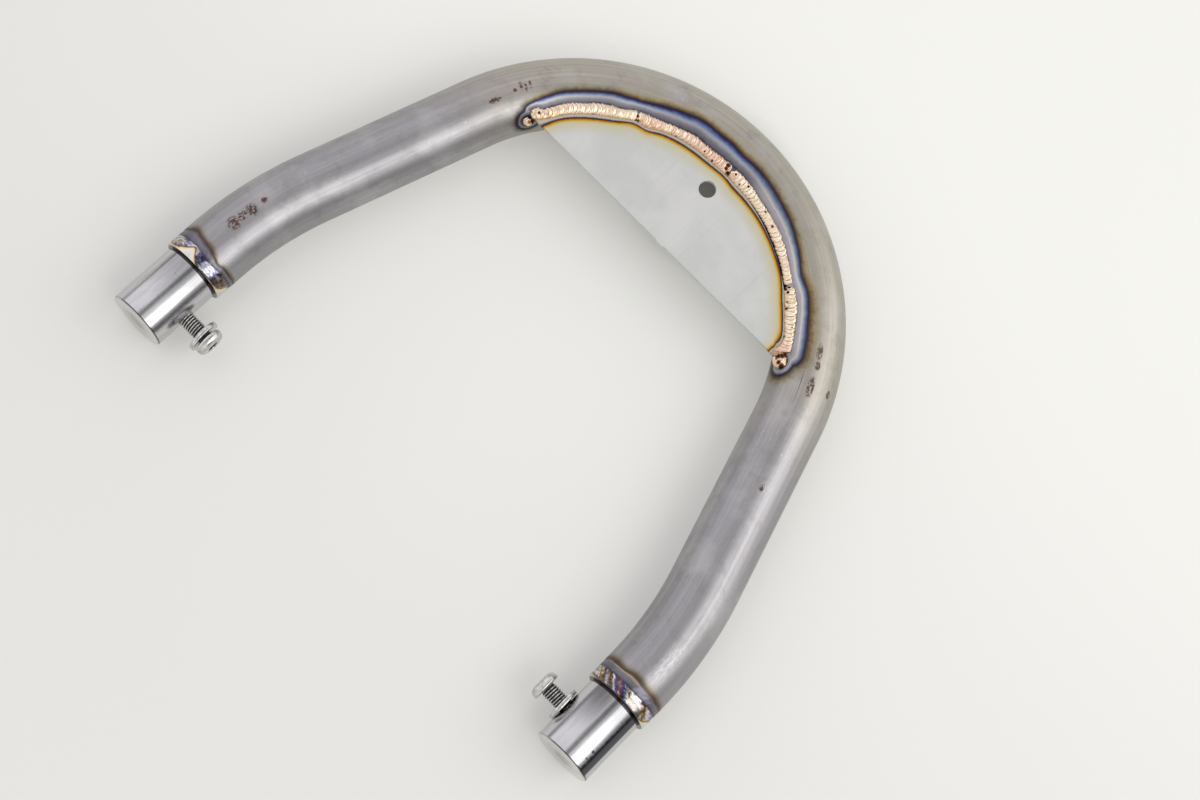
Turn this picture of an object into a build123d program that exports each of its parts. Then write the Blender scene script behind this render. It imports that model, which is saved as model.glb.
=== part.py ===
"""Rear subframe loop of a motorcycle, lying flat on its tube.

A hoop of round steel tube is bent round a crown and splayed legs, and its two feet run parallel.
A turned steel slug is fused into each foot: it plugs into the frame's own tube, and a button-head
screw with a washer goes through that tube's wall into the slug. A half-moon mounting plate closes
the inside of the crown and is brazed to the tube in four passes between two corner tacks.

Millimetres, +Z up, +Y towards the crown. The origin is on the surface that the loop lies on,
below the middle of its length and width.
"""

import os
from math import asin, cos, degrees, radians, sin, sqrt

from build123d import *

# Hoop tube: one inch outside, cold bent in one plane
tube_od = 25.4
tube_wall = 1.5
crown_radius = 82.3
splay = 17.4
leg_straight = 63.5
foot_radius = 135.0
foot_straight = 5.0

# Slugs: a plug for the frame's own tube, a full-width collar and a hidden spigot for this one
bore_clearance = 0.1
plug_length = 25.4
plug_chamfer = 0.5
collar_length = 5.0
collar_bevel = 0.6
spigot_past_foot = 4.0
spigot_chamfer = 1.0

# Fused joint between tube end and collar: a groove filled flush with the tube
fusion_width = 5.0
fusion_root_width = 0.8
fusion_land = 0.2

# Mounting plate: a circle's segment inside the crown
plate_thickness = 2.0
plate_below_crown = 3.4
plate_depth = 35.5
plate_gap = 0.1
plate_hole_d = 6.4
plate_hole_inset = 9.0
nib_width = 3.6
nib_proud = 0.4
nib_x = 2.2

# Braze fillet: a rippled bead laid along the joint in four passes, each with a width of its own:
# how far it reaches in on the plate, and how far it climbs the tube
pass_reach = [0.9, 0.6, 0.3, 0.8]
pass_climb = [0.65, 0.95, 1.3, 1.2]
pass_stops = [0.252, 0.519, 0.834]
pass_start_inset = 0.8
pass_end_inset = 3.2
bead_root_gap = 0.5
bead_hairline = 0.03

# Its ripples: the crown's rise on a crest, in a valley and in the crater at the end of a pass,
# and how far both edges of the bead draw in there
ripple_pitch = 1.5
ripple_lag = 0.35
crest_rise = 1.0
valley_rise = 0.78
valley_pinch = 0.14
crater_rise = 0.45
crater_pinch = 0.35

# Corner tacks: a small one that sank past the left corner, and a full one on the right corner
left_tack_radius = 2.1
left_tack_below_top = 2.5
left_tack_past_corner = 1.6
right_tack_radius = 2.9
right_tack_below_top = 0.9
right_tack_past_corner = -0.7

# Cross screws and washers
thread_d = 6.0
thread_clearance = 0.05
tapped_depth = 15.0
drill_point = 118.0
screw_length = 16.0
screw_tip_chamfer = 0.6
head_d = 10.5
head_height = 3.3
head_rim = 0.6
head_flat_d = 5.2
head_dome_radius = 5.8
hex_across_flats = 4.0
hex_depth = 2.1
washer_od = 12.0
washer_clearance = 0.4
washer_thickness = 1.6
washer_bevel = 0.2
washer_shank_gap = 0.06

# How far each screw is driven, where its washer hangs and how it leans
left_head_standoff = 10.2
right_head_standoff = 8.6
left_washer_from_head = 0.7
right_washer_from_plug = 0.05
left_washer_lean = 3.0
right_washer_lean = 1.0

# Plan of the hoop, worked out from the crown's centre
tube_r = tube_od / 2
plug_r = tube_r - tube_wall - bore_clearance
fusion_depth = tube_wall - fusion_land
leg_x = crown_radius * cos(radians(splay)) + leg_straight * sin(radians(splay))
leg_x += foot_radius * (1 - cos(radians(splay)))
foot_drop = leg_straight * cos(radians(splay)) - crown_radius * sin(radians(splay))
foot_drop += foot_radius * sin(radians(splay)) + foot_straight
reach = foot_drop + collar_length + plug_length
crown_y = (reach - crown_radius - tube_r) / 2
tube_end_y = crown_y - foot_drop
plug_end_y = crown_y - reach
screw_y = plug_end_y + plug_length / 2
sides = {"left": -1, "right": 1}


def foot_plane(side):
    """Sketch plane through a foot's axis: local x is radial, local y runs up the leg from the tube's end."""
    return Plane((side * leg_x, tube_end_y, tube_r))


def foot_axis(side):
    return Axis((side * leg_x, tube_end_y, tube_r), (0, 1, 0))


def screw_plane(side, along=0.0, lean=0.0, sag=0.0):
    """Sketch plane through a cross screw's axis: local x points from the plug's surface to the screw's head."""
    turn = radians(lean)
    origin = (side * (leg_x - plug_r - along), screw_y, tube_r - sag)
    return Plane(origin, x_dir=(-side * cos(turn), sin(turn), 0), z_dir=(0, 0, 1))


def save(piece, name):
    piece.label = name
    export_step(piece, f"parts/{name}.step")
    return piece


os.makedirs("parts", exist_ok=True)

# Fused rings, made first because the tube and the slugs are both cut to them
fusion_rings = {}
for name, side in sides.items():
    with BuildPart() as fusion_ring:
        with BuildSketch(foot_plane(side)):
            with BuildLine():
                Polyline(
                    (tube_r - fusion_depth, -fusion_root_width / 2),
                    (tube_r, -fusion_width / 2),
                    (tube_r, fusion_width / 2),
                    (tube_r - fusion_depth, fusion_root_width / 2),
                    close=True,
                )
            make_face()
        revolve(axis=foot_axis(side))
    fusion_rings[side] = save(fusion_ring.part, f"{name}_fusion_weld")

# Hoop tube: a round bar along the bent centreline, then its bore and the two weld grooves
with BuildLine(Plane.XY.offset(tube_r)) as centreline:
    left_foot = Line((-leg_x, tube_end_y), (-leg_x, tube_end_y + foot_straight))
    left_sweep = JernArc(left_foot @ 1, left_foot % 1, foot_radius, -splay)
    left_leg = PolarLine(left_sweep @ 1, leg_straight, direction=left_sweep % 1)
    crown = JernArc(left_leg @ 1, left_leg % 1, crown_radius, 2 * splay - 180)
    right_leg = PolarLine(crown @ 1, leg_straight, direction=crown % 1)
    right_sweep = JernArc(right_leg @ 1, right_leg % 1, foot_radius, -splay)
    Line(right_sweep @ 1, (leg_x, tube_end_y))

tube_start = Plane(left_foot @ 0, z_dir=left_foot % 0)

with BuildPart() as tube_envelope:
    with BuildSketch(tube_start):
        Circle(tube_r)
    sweep(path=centreline.line)

with BuildPart() as hoop_tube:
    add(tube_envelope.part)
    with BuildSketch(tube_start):
        Circle(tube_r - tube_wall)
    sweep(path=centreline.line, mode=Mode.SUBTRACT)
    for side in sides.values():
        add(fusion_rings[side], mode=Mode.SUBTRACT)
save(hoop_tube.part, "hoop_tube")

# Slugs, each turned from bar, grooved for its weld and cross tapped from the inner side
spigot_length = foot_straight + spigot_past_foot
tapped_r = thread_d / 2 + thread_clearance
point_depth = tapped_r / sin(radians(drill_point / 2)) * cos(radians(drill_point / 2))
for name, side in sides.items():
    with BuildPart() as slug:
        with BuildSketch(foot_plane(side)):
            with BuildLine():
                Polyline(
                    (0, -collar_length - plug_length),
                    (plug_r, -collar_length - plug_length),
                    (plug_r, -collar_length),
                    (tube_r, -collar_length),
                    (tube_r, 0),
                    (plug_r, 0),
                    (plug_r, spigot_length),
                    (0, spigot_length),
                    close=True,
                )
            make_face()
        revolve(axis=foot_axis(side))
        rims = slug.edges().filter_by(GeomType.CIRCLE).group_by(Axis.Y)
        chamfer(rims[0], plug_chamfer)
        chamfer(rims[-1], spigot_chamfer)
        collar_rim = slug.edges().filter_by(GeomType.CIRCLE).sort_by(SortBy.RADIUS)[-2:].sort_by(Axis.Y)[0]
        chamfer(collar_rim, collar_bevel)
        add(fusion_rings[side], mode=Mode.SUBTRACT)
        with BuildSketch(screw_plane(side)):
            with BuildLine():
                Polyline(
                    (plug_r, 0),
                    (plug_r, tapped_r),
                    (-tapped_depth, tapped_r),
                    (-tapped_depth - point_depth, 0),
                    close=True,
                )
            make_face()
        revolve(axis=Axis((0, screw_y, tube_r), (1, 0, 0)), mode=Mode.SUBTRACT)
    save(slug.part, f"{name}_slug")

# Mounting plate, seated against the inside of the crown at its lower edge
plate_top = tube_od - plate_below_crown
plate_bottom = plate_top - plate_thickness
plate_radius = crown_radius - sqrt(tube_r**2 - (plate_bottom - tube_r) ** 2) - plate_gap
plate_edge_y = plate_radius - plate_depth
with BuildPart() as mounting_plate:
    with BuildSketch(Plane((0, crown_y, plate_bottom))):
        Circle(plate_radius)
        with Locations((0, plate_edge_y)):
            Rectangle(2 * plate_radius, plate_radius, align=(Align.CENTER, Align.MIN), mode=Mode.INTERSECT)
        with Locations((nib_x, plate_edge_y)):
            Ellipse(nib_width / 2, nib_proud)
        with Locations((0, plate_radius - plate_hole_inset)):
            Circle(plate_hole_d / 2, mode=Mode.SUBTRACT)
    extrude(amount=plate_thickness)
save(mounting_plate.part, "mounting_plate")


def joint_plane(angle):
    """Sketch plane across the joint: local x runs out from the crown's centre, local y is the height."""
    out = (sin(radians(angle)), cos(radians(angle)), 0)
    return Plane((0, crown_y, 0), x_dir=out, z_dir=(out[1], -out[0], 0))


def tube_side(height):
    """Distance from the crown's centre to the inner side of the tube at a height, less a hairline."""
    return crown_radius - sqrt((tube_r + bead_hairline) ** 2 - (height - tube_r) ** 2)


def bead_outline(reach_in, climb, rise):
    """Outline across the bead: down the tube to its root, up the plate's edge and over the crown."""
    toe = Vector(plate_radius - reach_in, plate_top + bead_hairline)
    top = Vector(tube_side(plate_top + climb), plate_top + climb)
    chord = top - toe
    proud = Vector(-chord.Y, chord.X).normalized() * rise
    crown_points = [toe + chord * t + proud * 4 * t * (1 - t) for t in (0.25, 0.5, 0.75)]
    root = plate_bottom + bead_root_gap
    flank = [root + (plate_top + climb - root) * share for share in (2 / 3, 1 / 3)]
    beside_plate = plate_radius + bead_hairline
    return [
        (beside_plate, plate_top + bead_hairline),
        toe,
        *crown_points,
        top,
        *[(tube_side(height), height) for height in flank],
        (tube_side(root), root),
        (beside_plate, root),
    ]


# Braze passes from left to right, each one starting at the crater of the one before
corner_angle = degrees(asin(sqrt(plate_radius**2 - plate_edge_y**2) / plate_radius))
first_stop = degrees(pass_start_inset / plate_radius) - corner_angle
last_stop = corner_angle - degrees(pass_end_inset / plate_radius)
stops = [first_stop] + [first_stop + (last_stop - first_stop) * share for share in pass_stops] + [last_stop]
braze_passes = []
for number, (start, stop, reach_in, climb) in enumerate(zip(stops, stops[1:], pass_reach, pass_climb), 1):
    crest = (reach_in, climb, crest_rise)
    valley = (reach_in - valley_pinch, climb - valley_pinch, valley_rise)
    crater = (reach_in - crater_pinch, climb - crater_pinch, crater_rise)
    ripples = round(radians(stop - start) * plate_radius / ripple_pitch)
    step = (stop - start) / ripples
    sections = {start: crater, stop: crater}
    for ripple in range(ripples):
        sections[start + (ripple + ripple_lag) * step] = crest
        if ripple:
            sections[start + ripple * step] = valley
    with BuildPart() as braze_pass:
        for angle, section in sorted(sections.items()):
            with BuildSketch(joint_plane(angle)):
                with BuildLine():
                    Polyline(*bead_outline(*section), close=True)
                make_face()
        loft(ruled=True)
    braze_passes.append(save(braze_pass.part, f"braze_pass_{number}"))

# Corner tacks, each wrapped round a corner of the plate and over the end of its pass
tacks = {
    "left": (left_tack_radius, left_tack_below_top, left_tack_past_corner, braze_passes[0]),
    "right": (right_tack_radius, right_tack_below_top, right_tack_past_corner, braze_passes[-1]),
}
for name, (radius, below_top, past_corner, neighbour) in tacks.items():
    tack_angle = sides[name] * (corner_angle + degrees(past_corner / plate_radius))
    middle = joint_plane(tack_angle).from_local_coords((plate_radius, plate_top - below_top))
    with BuildPart() as braze_tack:
        with Locations(middle):
            Sphere(radius)
        add(tube_envelope.part, mode=Mode.SUBTRACT)
        add(mounting_plate.part, mode=Mode.SUBTRACT)
        add(neighbour, mode=Mode.SUBTRACT)
    save(braze_tack.part, f"{name}_braze_tack")

# Cross screws, partly driven, and the washers that hang on them
standoffs = {"left": left_head_standoff, "right": right_head_standoff}
for name, side in sides.items():
    seat = standoffs[name]
    top = seat + head_height
    with BuildPart() as screw:
        with BuildSketch(screw_plane(side)):
            with BuildLine():
                Polyline(
                    (top, 0),
                    (seat - screw_length, 0),
                    (seat - screw_length, thread_d / 2 - screw_tip_chamfer),
                    (seat - screw_length + screw_tip_chamfer, thread_d / 2),
                    (seat, thread_d / 2),
                    (seat, head_d / 2),
                    (seat + head_rim, head_d / 2),
                )
                RadiusArc((seat + head_rim, head_d / 2), (top, head_flat_d / 2), head_dome_radius)
                Line((top, head_flat_d / 2), (top, 0))
            make_face()
        revolve(axis=Axis((0, screw_y, tube_r), (1, 0, 0)))
        with BuildSketch(Plane(screw_plane(side, top).origin, z_dir=(-side, 0, 0))):
            RegularPolygon(hex_across_flats / 2, 6, major_radius=False)
        extrude(amount=-hex_depth, mode=Mode.SUBTRACT)
    save(screw.part, f"{name}_screw")

washer_bore = thread_d + washer_clearance
washer_sag = washer_clearance / 2 - washer_shank_gap
washer_places = {
    "left": (left_head_standoff - left_washer_from_head - washer_thickness / 2, left_washer_lean),
    "right": (right_washer_from_plug + washer_thickness / 2, right_washer_lean),
}
for name, side in sides.items():
    along, lean = washer_places[name]
    along += washer_od / 2 * sin(radians(lean)) * (1 if name == "right" else -1)
    hung = screw_plane(side, along, lean, washer_sag)
    with BuildPart() as washer:
        with BuildSketch(Plane(hung.origin, z_dir=hung.x_dir)):
            Circle(washer_od / 2)
            Circle(washer_bore / 2, mode=Mode.SUBTRACT)
        extrude(amount=washer_thickness / 2, both=True)
        chamfer(washer.edges().filter_by(GeomType.CIRCLE), washer_bevel)
    save(washer.part, f"{name}_washer")
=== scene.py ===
# %% [markdown]
# # A brazed subframe loop
# The object is a hoop of drawn steel tube from the tail of a motorcycle frame. A half-round plate is
# brazed inside its crown, and a turned plug is fused into each foot and carries a cross screw.
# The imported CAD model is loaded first, as a fixed frame. Every piece below is worked out on that
# frame's own sizes in millimetres, so nothing has to be fitted by eye.

# %% Load the frame
import math

import bmesh
import bpy
import numpy as np
from mathutils import Matrix, Vector


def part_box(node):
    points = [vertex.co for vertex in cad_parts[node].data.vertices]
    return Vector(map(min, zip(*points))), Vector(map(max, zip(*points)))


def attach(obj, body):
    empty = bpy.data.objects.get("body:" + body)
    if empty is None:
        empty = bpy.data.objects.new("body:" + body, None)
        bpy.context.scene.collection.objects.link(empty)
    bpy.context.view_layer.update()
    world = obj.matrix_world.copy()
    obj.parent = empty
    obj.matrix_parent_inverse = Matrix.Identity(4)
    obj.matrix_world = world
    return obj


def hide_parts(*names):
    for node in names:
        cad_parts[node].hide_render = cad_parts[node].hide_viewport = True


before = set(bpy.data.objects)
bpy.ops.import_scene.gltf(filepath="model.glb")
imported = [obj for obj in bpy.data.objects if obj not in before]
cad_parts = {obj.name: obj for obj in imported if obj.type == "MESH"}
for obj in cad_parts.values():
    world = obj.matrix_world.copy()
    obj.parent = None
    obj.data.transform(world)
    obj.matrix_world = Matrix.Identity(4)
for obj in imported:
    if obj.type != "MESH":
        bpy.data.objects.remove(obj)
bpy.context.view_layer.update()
print("nodes in the frame:", len(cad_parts))

# %% [markdown]
# The camera comes next, because it decides how much detail is worth making. It was solved from both
# edges of the tube in the photograph, and from how wide the round ends of the two plugs appear. The
# photograph is a crop away from the middle of its frame, which the lens shift stands for.

# %% Camera at the photograph's view
camera_place = (0.120297, -0.258793, 1.039044)
camera_turn = (21.44911, -10.38182, 43.43118)
lens_shift = {"shift_x": -0.196932, "shift_y": -0.350572}

lens = bpy.data.cameras.new("photo_camera")
lens.lens = 90.0
lens.sensor_width = 36.0
lens.clip_start = 0.01
camera = bpy.data.objects.new("photo_camera", lens)
camera.location = camera_place
camera.rotation_euler = [math.radians(a) for a in camera_turn]
bpy.context.scene.collection.objects.link(camera)
bpy.context.scene.camera = camera
print("camera is", round(camera.location.length, 3), "m from the middle of the loop")

# %% [markdown]
# Seen from any other place, a shifted lens would throw the loop out of the picture. So a driver
# works the shift out for each view: the photograph's value at the photograph's height, else none.

# %% Shift for that view alone
for side, shift in lens_shift.items():
    setattr(lens, side, shift)
    driver = lens.driver_add(side).driver
    height = driver.variables.new()
    height.name = "height"
    height.targets[0].id = camera
    height.targets[0].data_path = "location[2]"
    driver.expression = f"{shift} if abs(height - {camera_place[2]}) < 0.0005 else 0.0"
print("driven:", ", ".join(lens_shift))

# %% [markdown]
# Sizes of the hoop, in millimetres. The tube is 1 inch across. Its centre line is an arc over the
# crown, a straight leg each side that splays outward, and a wide bend that turns each foot straight.
# The frame gives the place of the plugs' ends, and the crown's centre follows from that.

# %% Sizes of the hoop
tube_r = 12.7
bore_r = 11.2
crown_r = 82.3
splay = math.radians(17.4)
leg_run = 63.5
foot_r = 135.0
foot_run = 5.0
weld_half = 2.5
plug_r, plug_run = 11.1, 25.4
collar_run = 5.0

crown_run = crown_r * (math.pi / 2 - splay)
bend_run = foot_r * splay
half_run = crown_run + leg_run + bend_run + foot_run
plug_end_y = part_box("left_slug")[0].y * 1000
shoulder_y = plug_end_y + plug_run
tube_end_y = shoulder_y + collar_run
foot_top_y = tube_end_y + foot_run + foot_r * math.sin(splay)
crown_y = foot_top_y + leg_run * math.cos(splay) - crown_r * math.sin(splay)
leg_x = crown_r * math.cos(splay) + leg_run * math.sin(splay) + foot_r * (1 - math.cos(splay))
print("half the centre line:", round(half_run, 2), "mm, tube ends at y", round(tube_end_y, 2))


# %% [markdown]
# The hoop's centre line as a function. Four clipped lengths, one each for crown, leg, bend and foot,
# are added up, so whole arrays go through without a loop.

# %% The centre line
def hoop_line(s):
    """Centre line at s mm from the crown's middle, as x, y and the outward direction across it.

    x = R sin t + leg sin a + F (cos(a - b) - cos a), y = R cos t - leg cos a - F (sin a - sin(a - b)),
    with t the turn over the crown, a the splay, and b the turn in the foot's bend."""
    side = np.where(s < 0, -1.0, 1.0)
    run = np.abs(s)
    turn = np.clip(run, 0, crown_run) / crown_r
    leg = np.clip(run - crown_run, 0, leg_run)
    bend = np.clip(run - crown_run - leg_run, 0, bend_run) / foot_r
    foot = np.clip(run - crown_run - leg_run - bend_run, 0, None)
    x = crown_r * np.sin(turn) + leg * math.sin(splay)
    x = x + foot_r * (np.cos(splay - bend) - math.cos(splay))
    y = crown_r * np.cos(turn) - leg * math.cos(splay) - foot
    y = y - foot_r * (math.sin(splay) - np.sin(splay - bend))
    heading = turn + bend
    return side * x, y + crown_y, side * np.sin(heading), np.cos(heading)


def on_tube(s, theta, radius):
    """Point on a tube: the centre line, plus radius times (sin theta outward, cos theta up)."""
    x, y, out_x, out_y = hoop_line(s)
    out = radius * np.sin(theta)
    return np.stack([x + out * out_x, y + out * out_y, tube_r + radius * np.cos(theta)], -1)


for place, run in (("crown", 0.0), ("foot", half_run)):
    print("top of the", place, on_tube(run, 0.0, tube_r).round(2))


# %% [markdown]
# Every new piece is a grid of points joined by four-sided faces. One helper turns such a grid into a
# mesh. It joins the last column to the first, can join the last row to the first too, and keeps
# extra numbers for each point, which the finishes read later as attributes.

# %% Grid to mesh
def smooth(edge0, edge1, x):
    """Goes from 0 at edge0 to 1 at edge1 along an S: 3t^2 - 2t^3."""
    t = np.clip((x - edge0) / (edge1 - edge0), 0, 1)
    return t * t * (3 - 2 * t)


def weave(name, grid, ring=False, sharp=40.0, **fields):
    """A closed mesh from a grid of points in mm, rows by columns. Rows wrap too if ring is true, and
    otherwise the first and last row are poles, each a row of one repeated point."""
    rows, columns = grid.shape[:2]
    index = np.arange(rows * columns).reshape(rows, columns)
    near = index if ring else index[:-1]
    far = np.roll(index, -1, 0) if ring else index[1:]
    quads = np.stack([near, np.roll(near, -1, 1), np.roll(far, -1, 1), far], -1).reshape(-1, 4)
    mesh = bpy.data.meshes.new(name)
    mesh.from_pydata((grid.reshape(-1, 3) / 1000).tolist(), [], quads.tolist())
    for field, values in fields.items():
        kind, slot = ("FLOAT_VECTOR", "vector") if values.ndim == 3 else ("FLOAT", "value")
        layer = mesh.attributes.new(field, kind, "POINT")
        layer.data.foreach_set(slot, values.astype(np.float32).ravel())
    return tidy(name, mesh, sharp)


def tidy(name, mesh, sharp):
    """Merges the poles, turns faces outward, shades smooth up to an angle, and makes the object."""
    work = bmesh.new()
    work.from_mesh(mesh)
    bmesh.ops.remove_doubles(work, verts=work.verts, dist=1e-7)
    bmesh.ops.recalc_face_normals(work, faces=work.faces)
    work.to_mesh(mesh)
    work.free()
    mesh.shade_smooth()
    mesh.set_sharp_from_angle(angle=math.radians(sharp))
    piece = bpy.data.objects.new(name, mesh)
    bpy.context.scene.collection.objects.link(piece)
    print(name, "faces", len(mesh.polygons))
    return piece


# %% [markdown]
# Finishes are node trees. Written as plain expressions they are far easier to read, so a small class
# wraps an output socket, and arithmetic on it adds Math nodes.

# %% Sockets that do arithmetic
class Signal:
    """One output socket. An expression on it adds a Math node for each operation."""

    def __init__(self, nodes, socket):
        self.nodes = nodes
        self.socket = socket

    def math(self, operation, first, second=0.0):
        return self.nodes.node("ShaderNodeMath", {"operation": operation}, {0: first, 1: second})

    def __add__(self, other):
        return self.math("ADD", self, other)

    def __radd__(self, other):
        return self.math("ADD", other, self)

    def __sub__(self, other):
        return self.math("SUBTRACT", self, other)

    def __rsub__(self, other):
        return self.math("SUBTRACT", other, self)

    def __mul__(self, other):
        return self.math("MULTIPLY", self, other)

    def __rmul__(self, other):
        return self.math("MULTIPLY", other, self)

    def __truediv__(self, other):
        return self.math("DIVIDE", self, other)

    def __pow__(self, other):
        return self.math("POWER", self, other)

    def __abs__(self):
        return self.math("ABSOLUTE", self)

    def clamp(self):
        """Keeps the value between 0 and 1."""
        return self.math("MINIMUM", self.math("MAXIMUM", self, 0.0), 1.0)

    def atleast(self, other):
        """The larger of the two."""
        return self.math("MAXIMUM", self, other)


# %% [markdown]
# The second class holds one tree of nodes, of a material or of the world. Its node() method makes
# every node, and the short methods under it are the few kinds that all finishes share.

# %% A node tree
class Nodes:
    """A tree of nodes. node() makes any node, and the rest are short forms."""

    def __init__(self, tree):
        self.tree = tree
        tree.nodes.clear()

    def feed(self, node, inputs):
        for key, value in inputs.items():
            if isinstance(value, Signal):
                self.tree.links.new(value.socket, node.inputs[key])
            elif isinstance(value, tuple) and len(value) == 3 and node.inputs[key].type == "RGBA":
                node.inputs[key].default_value = (*value, 1.0)
            else:
                node.inputs[key].default_value = value

    def node(self, kind, settings=None, inputs=None, out=0):
        """Makes a node: its settings first, with a ramp's stops among them, then values or links."""
        made = self.tree.nodes.new(kind)
        for key, value in (settings or {}).items():
            if key == "stops":
                for spare in list(made.color_ramp.elements)[1:]:
                    made.color_ramp.elements.remove(spare)
                made.color_ramp.elements[0].position = value[0][0]
                made.color_ramp.elements[0].color = (*value[0][1], 1.0)
                for place, colour in value[1:]:
                    made.color_ramp.elements.new(place).color = (*colour, 1.0)
            else:
                setattr(made, key, value)
        self.feed(made, inputs or {})
        return Signal(self, made.outputs[out])

    def place(self):
        """Object coordinates in mm."""
        found = self.node("ShaderNodeTexCoord", out="Object")
        return self.scaled(found, (1000.0, 1000.0, 1000.0))

    def field(self, name, out="Fac"):
        """What the mesh stores for each point under that name."""
        return self.node("ShaderNodeAttribute", {"attribute_name": name}, out=out)

    def scaled(self, vector, by):
        return self.node("ShaderNodeVectorMath", {"operation": "MULTIPLY"}, {0: vector, 1: by})

    def axes(self, vector):
        """The three numbers of a vector."""
        return [self.node("ShaderNodeSeparateXYZ", None, {0: vector}, out=i) for i in range(3)]

    def join(self, x, y, z):
        return self.node("ShaderNodeCombineXYZ", None, {0: x, 1: y, 2: z})

    def distance(self, vector, point):
        return self.node(
            "ShaderNodeVectorMath", {"operation": "DISTANCE"}, {0: vector, 1: point}, out="Value"
        )

    def faded(self, colour, saturation, value):
        """The same colour with less saturation and a lower value."""
        inputs = {"Saturation": saturation, "Value": value, "Color": colour}
        return self.node("ShaderNodeHueSaturation", None, inputs)

    def noise(self, vector, scale, detail=2.0, roughness=0.5, distortion=0.0):
        """Noise from 0 to 1, about 0.5 on average, with scale waves to the unit."""
        inputs = {"Vector": vector, "Scale": scale, "Detail": detail}
        inputs.update({"Roughness": roughness, "Distortion": distortion})
        return self.node("ShaderNodeTexNoise", {"noise_dimensions": "3D"}, inputs)

    def stretched(self, vector, waves, detail=2.0, roughness=0.5, distortion=0.0):
        """Noise drawn out along an axis: waves is how many there are to the unit along x, y and z."""
        return self.noise(self.scaled(vector, waves), 1.0, detail, roughness, distortion)

    def cells(self, vector, scale):
        """Distance to the nearest of points scattered through space, in parts of a cell."""
        return self.node("ShaderNodeTexVoronoi", None, {"Vector": vector, "Scale": scale})

    def band(self, value, low, high, start=0.0, end=1.0):
        """Maps low..high to start..end along an S, and holds the ends."""
        inputs = {"Value": value, "From Min": low, "From Max": high, "To Min": start, "To Max": end}
        return self.node("ShaderNodeMapRange", {"interpolation_type": "SMOOTHSTEP"}, inputs)

    def ramp(self, value, stops, light=None):
        """Colours against a value: stops are (value, colour). With a light, colours are as seen()."""
        low, high = stops[0][0], stops[-1][0]
        if light is not None:
            stops = [(at, seen(*colour, light)) for at, colour in stops]
        places = [((at - low) / (high - low), colour) for at, colour in stops]
        share = (value - low) / (high - low)
        return self.node("ShaderNodeValToRGB", {"stops": places}, {0: share})

    def mix(self, share, first, second):
        """Colour mix: first where share is 0, second where it is 1."""
        settings = {"data_type": "RGBA"}
        return self.node("ShaderNodeMix", settings, {0: share, 6: first, 7: second}, out=2)

    def layers(self, colour, coats, light=None):
        """Lays coats of (mask, colour) over a colour in turn. With a light, colours are as seen()."""
        for mask, coat in coats:
            colour = self.mix(mask, colour, coat if light is None else seen(*coat, light))
        return colour

    def bump(self, height, depth, below=None):
        """Normal from a height of 0..1, which is depth mm deep."""
        inputs = {"Height": height, "Strength": 1.0, "Distance": depth / 1000}
        if below is not None:
            inputs["Normal"] = below
        return self.node("ShaderNodeBump", None, inputs)


# %% [markdown]
# The third class is one material: a tree with a Principled shader at its end.

# %% One material
class Finish(Nodes):
    """A material with one Principled shader, which wear() feeds."""

    def __init__(self, name, **constants):
        self.material = bpy.data.materials.new(name)
        self.material.use_nodes = True
        super().__init__(self.material.node_tree)
        self.shader = self.tree.nodes.new("ShaderNodeBsdfPrincipled")
        output = self.tree.nodes.new("ShaderNodeOutputMaterial")
        self.tree.links.new(self.shader.outputs[0], output.inputs["Surface"])
        self.wear(**constants)

    def wear(self, **inputs):
        """Feeds the shader itself. Normal, Base_Color and the like take a Signal."""
        self.feed(self.shader, {key.replace("_", " "): value for key, value in inputs.items()})


# %% [markdown]
# Colours are noted as they look in the photograph, from 0 to 255, and turned into the linear values
# that a shader works in. Metal shows its colour times the light that it mirrors, so that light is
# divided out again.

# %% Colours from the photograph
def seen(red, green, blue, light=1.0):
    """Linear colour of a photographed one: ((c + 0.055) / 1.055) to the power 2.4, over the light."""
    share = [v / 255 for v in (red, green, blue)]
    linear = [v / 12.92 if v <= 0.04045 else ((v + 0.055) / 1.055) ** 2.4 for v in share]
    return tuple(min(v / light, 1.0) for v in linear)


steel_light = 0.80
plate_light = 0.96
bare_steel = seen(146, 144, 147, steel_light)
print("bare steel as linear colour:", [round(v, 3) for v in bare_steel])


# %% [markdown]
# ## The tube
# A bent tube keeps its round section all along, so its skin is a circle carried along the centre
# line. The same grid turns in at each end and comes back through the bore, which closes it. Each
# point also stores where it would be on a straight tube, because drawing marks and scratches run
# along the steel and were there before it was bent.
# The braze heated the steel, so each point stores how far it is from the braze too.
# Nothing that is laid by hand has straight edges, so edges are a few values read off the photograph,
# with a smooth curve through them.

# %% Curves through a few chosen points
def through(points, x):
    """Smooth curve through (place, height) points: a cubic between neighbours, with their slopes.

    h = (1 + 2t)(1 - t)^2 h0 + t^2 (3 - 2t) h1 + run t (1 - t) ((1 - t) slope0 - t slope1)."""
    place, height = np.array(points, float).T
    slope = np.gradient(height, place)
    i = np.clip(np.searchsorted(place, x) - 1, 0, len(place) - 2)
    run = place[i + 1] - place[i]
    t = np.clip((x - place[i]) / run, 0, 1)
    rise = (1 + 2 * t) * (1 - t) ** 2 * height[i] + t * t * (3 - 2 * t) * height[i + 1]
    return rise + run * t * (1 - t) * ((1 - t) * slope[i] - t * slope[i + 1])


# %% [markdown]
# The braze runs over the crown like the hand of a clock, so its edges, called toes, are radii at
# clock angles in degrees, with 0 at the crown's top. So are the dark line that the heat drew on the
# plate, the width of the oxide film on the tube, and how fast the brown fringe outside it fades.

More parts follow.
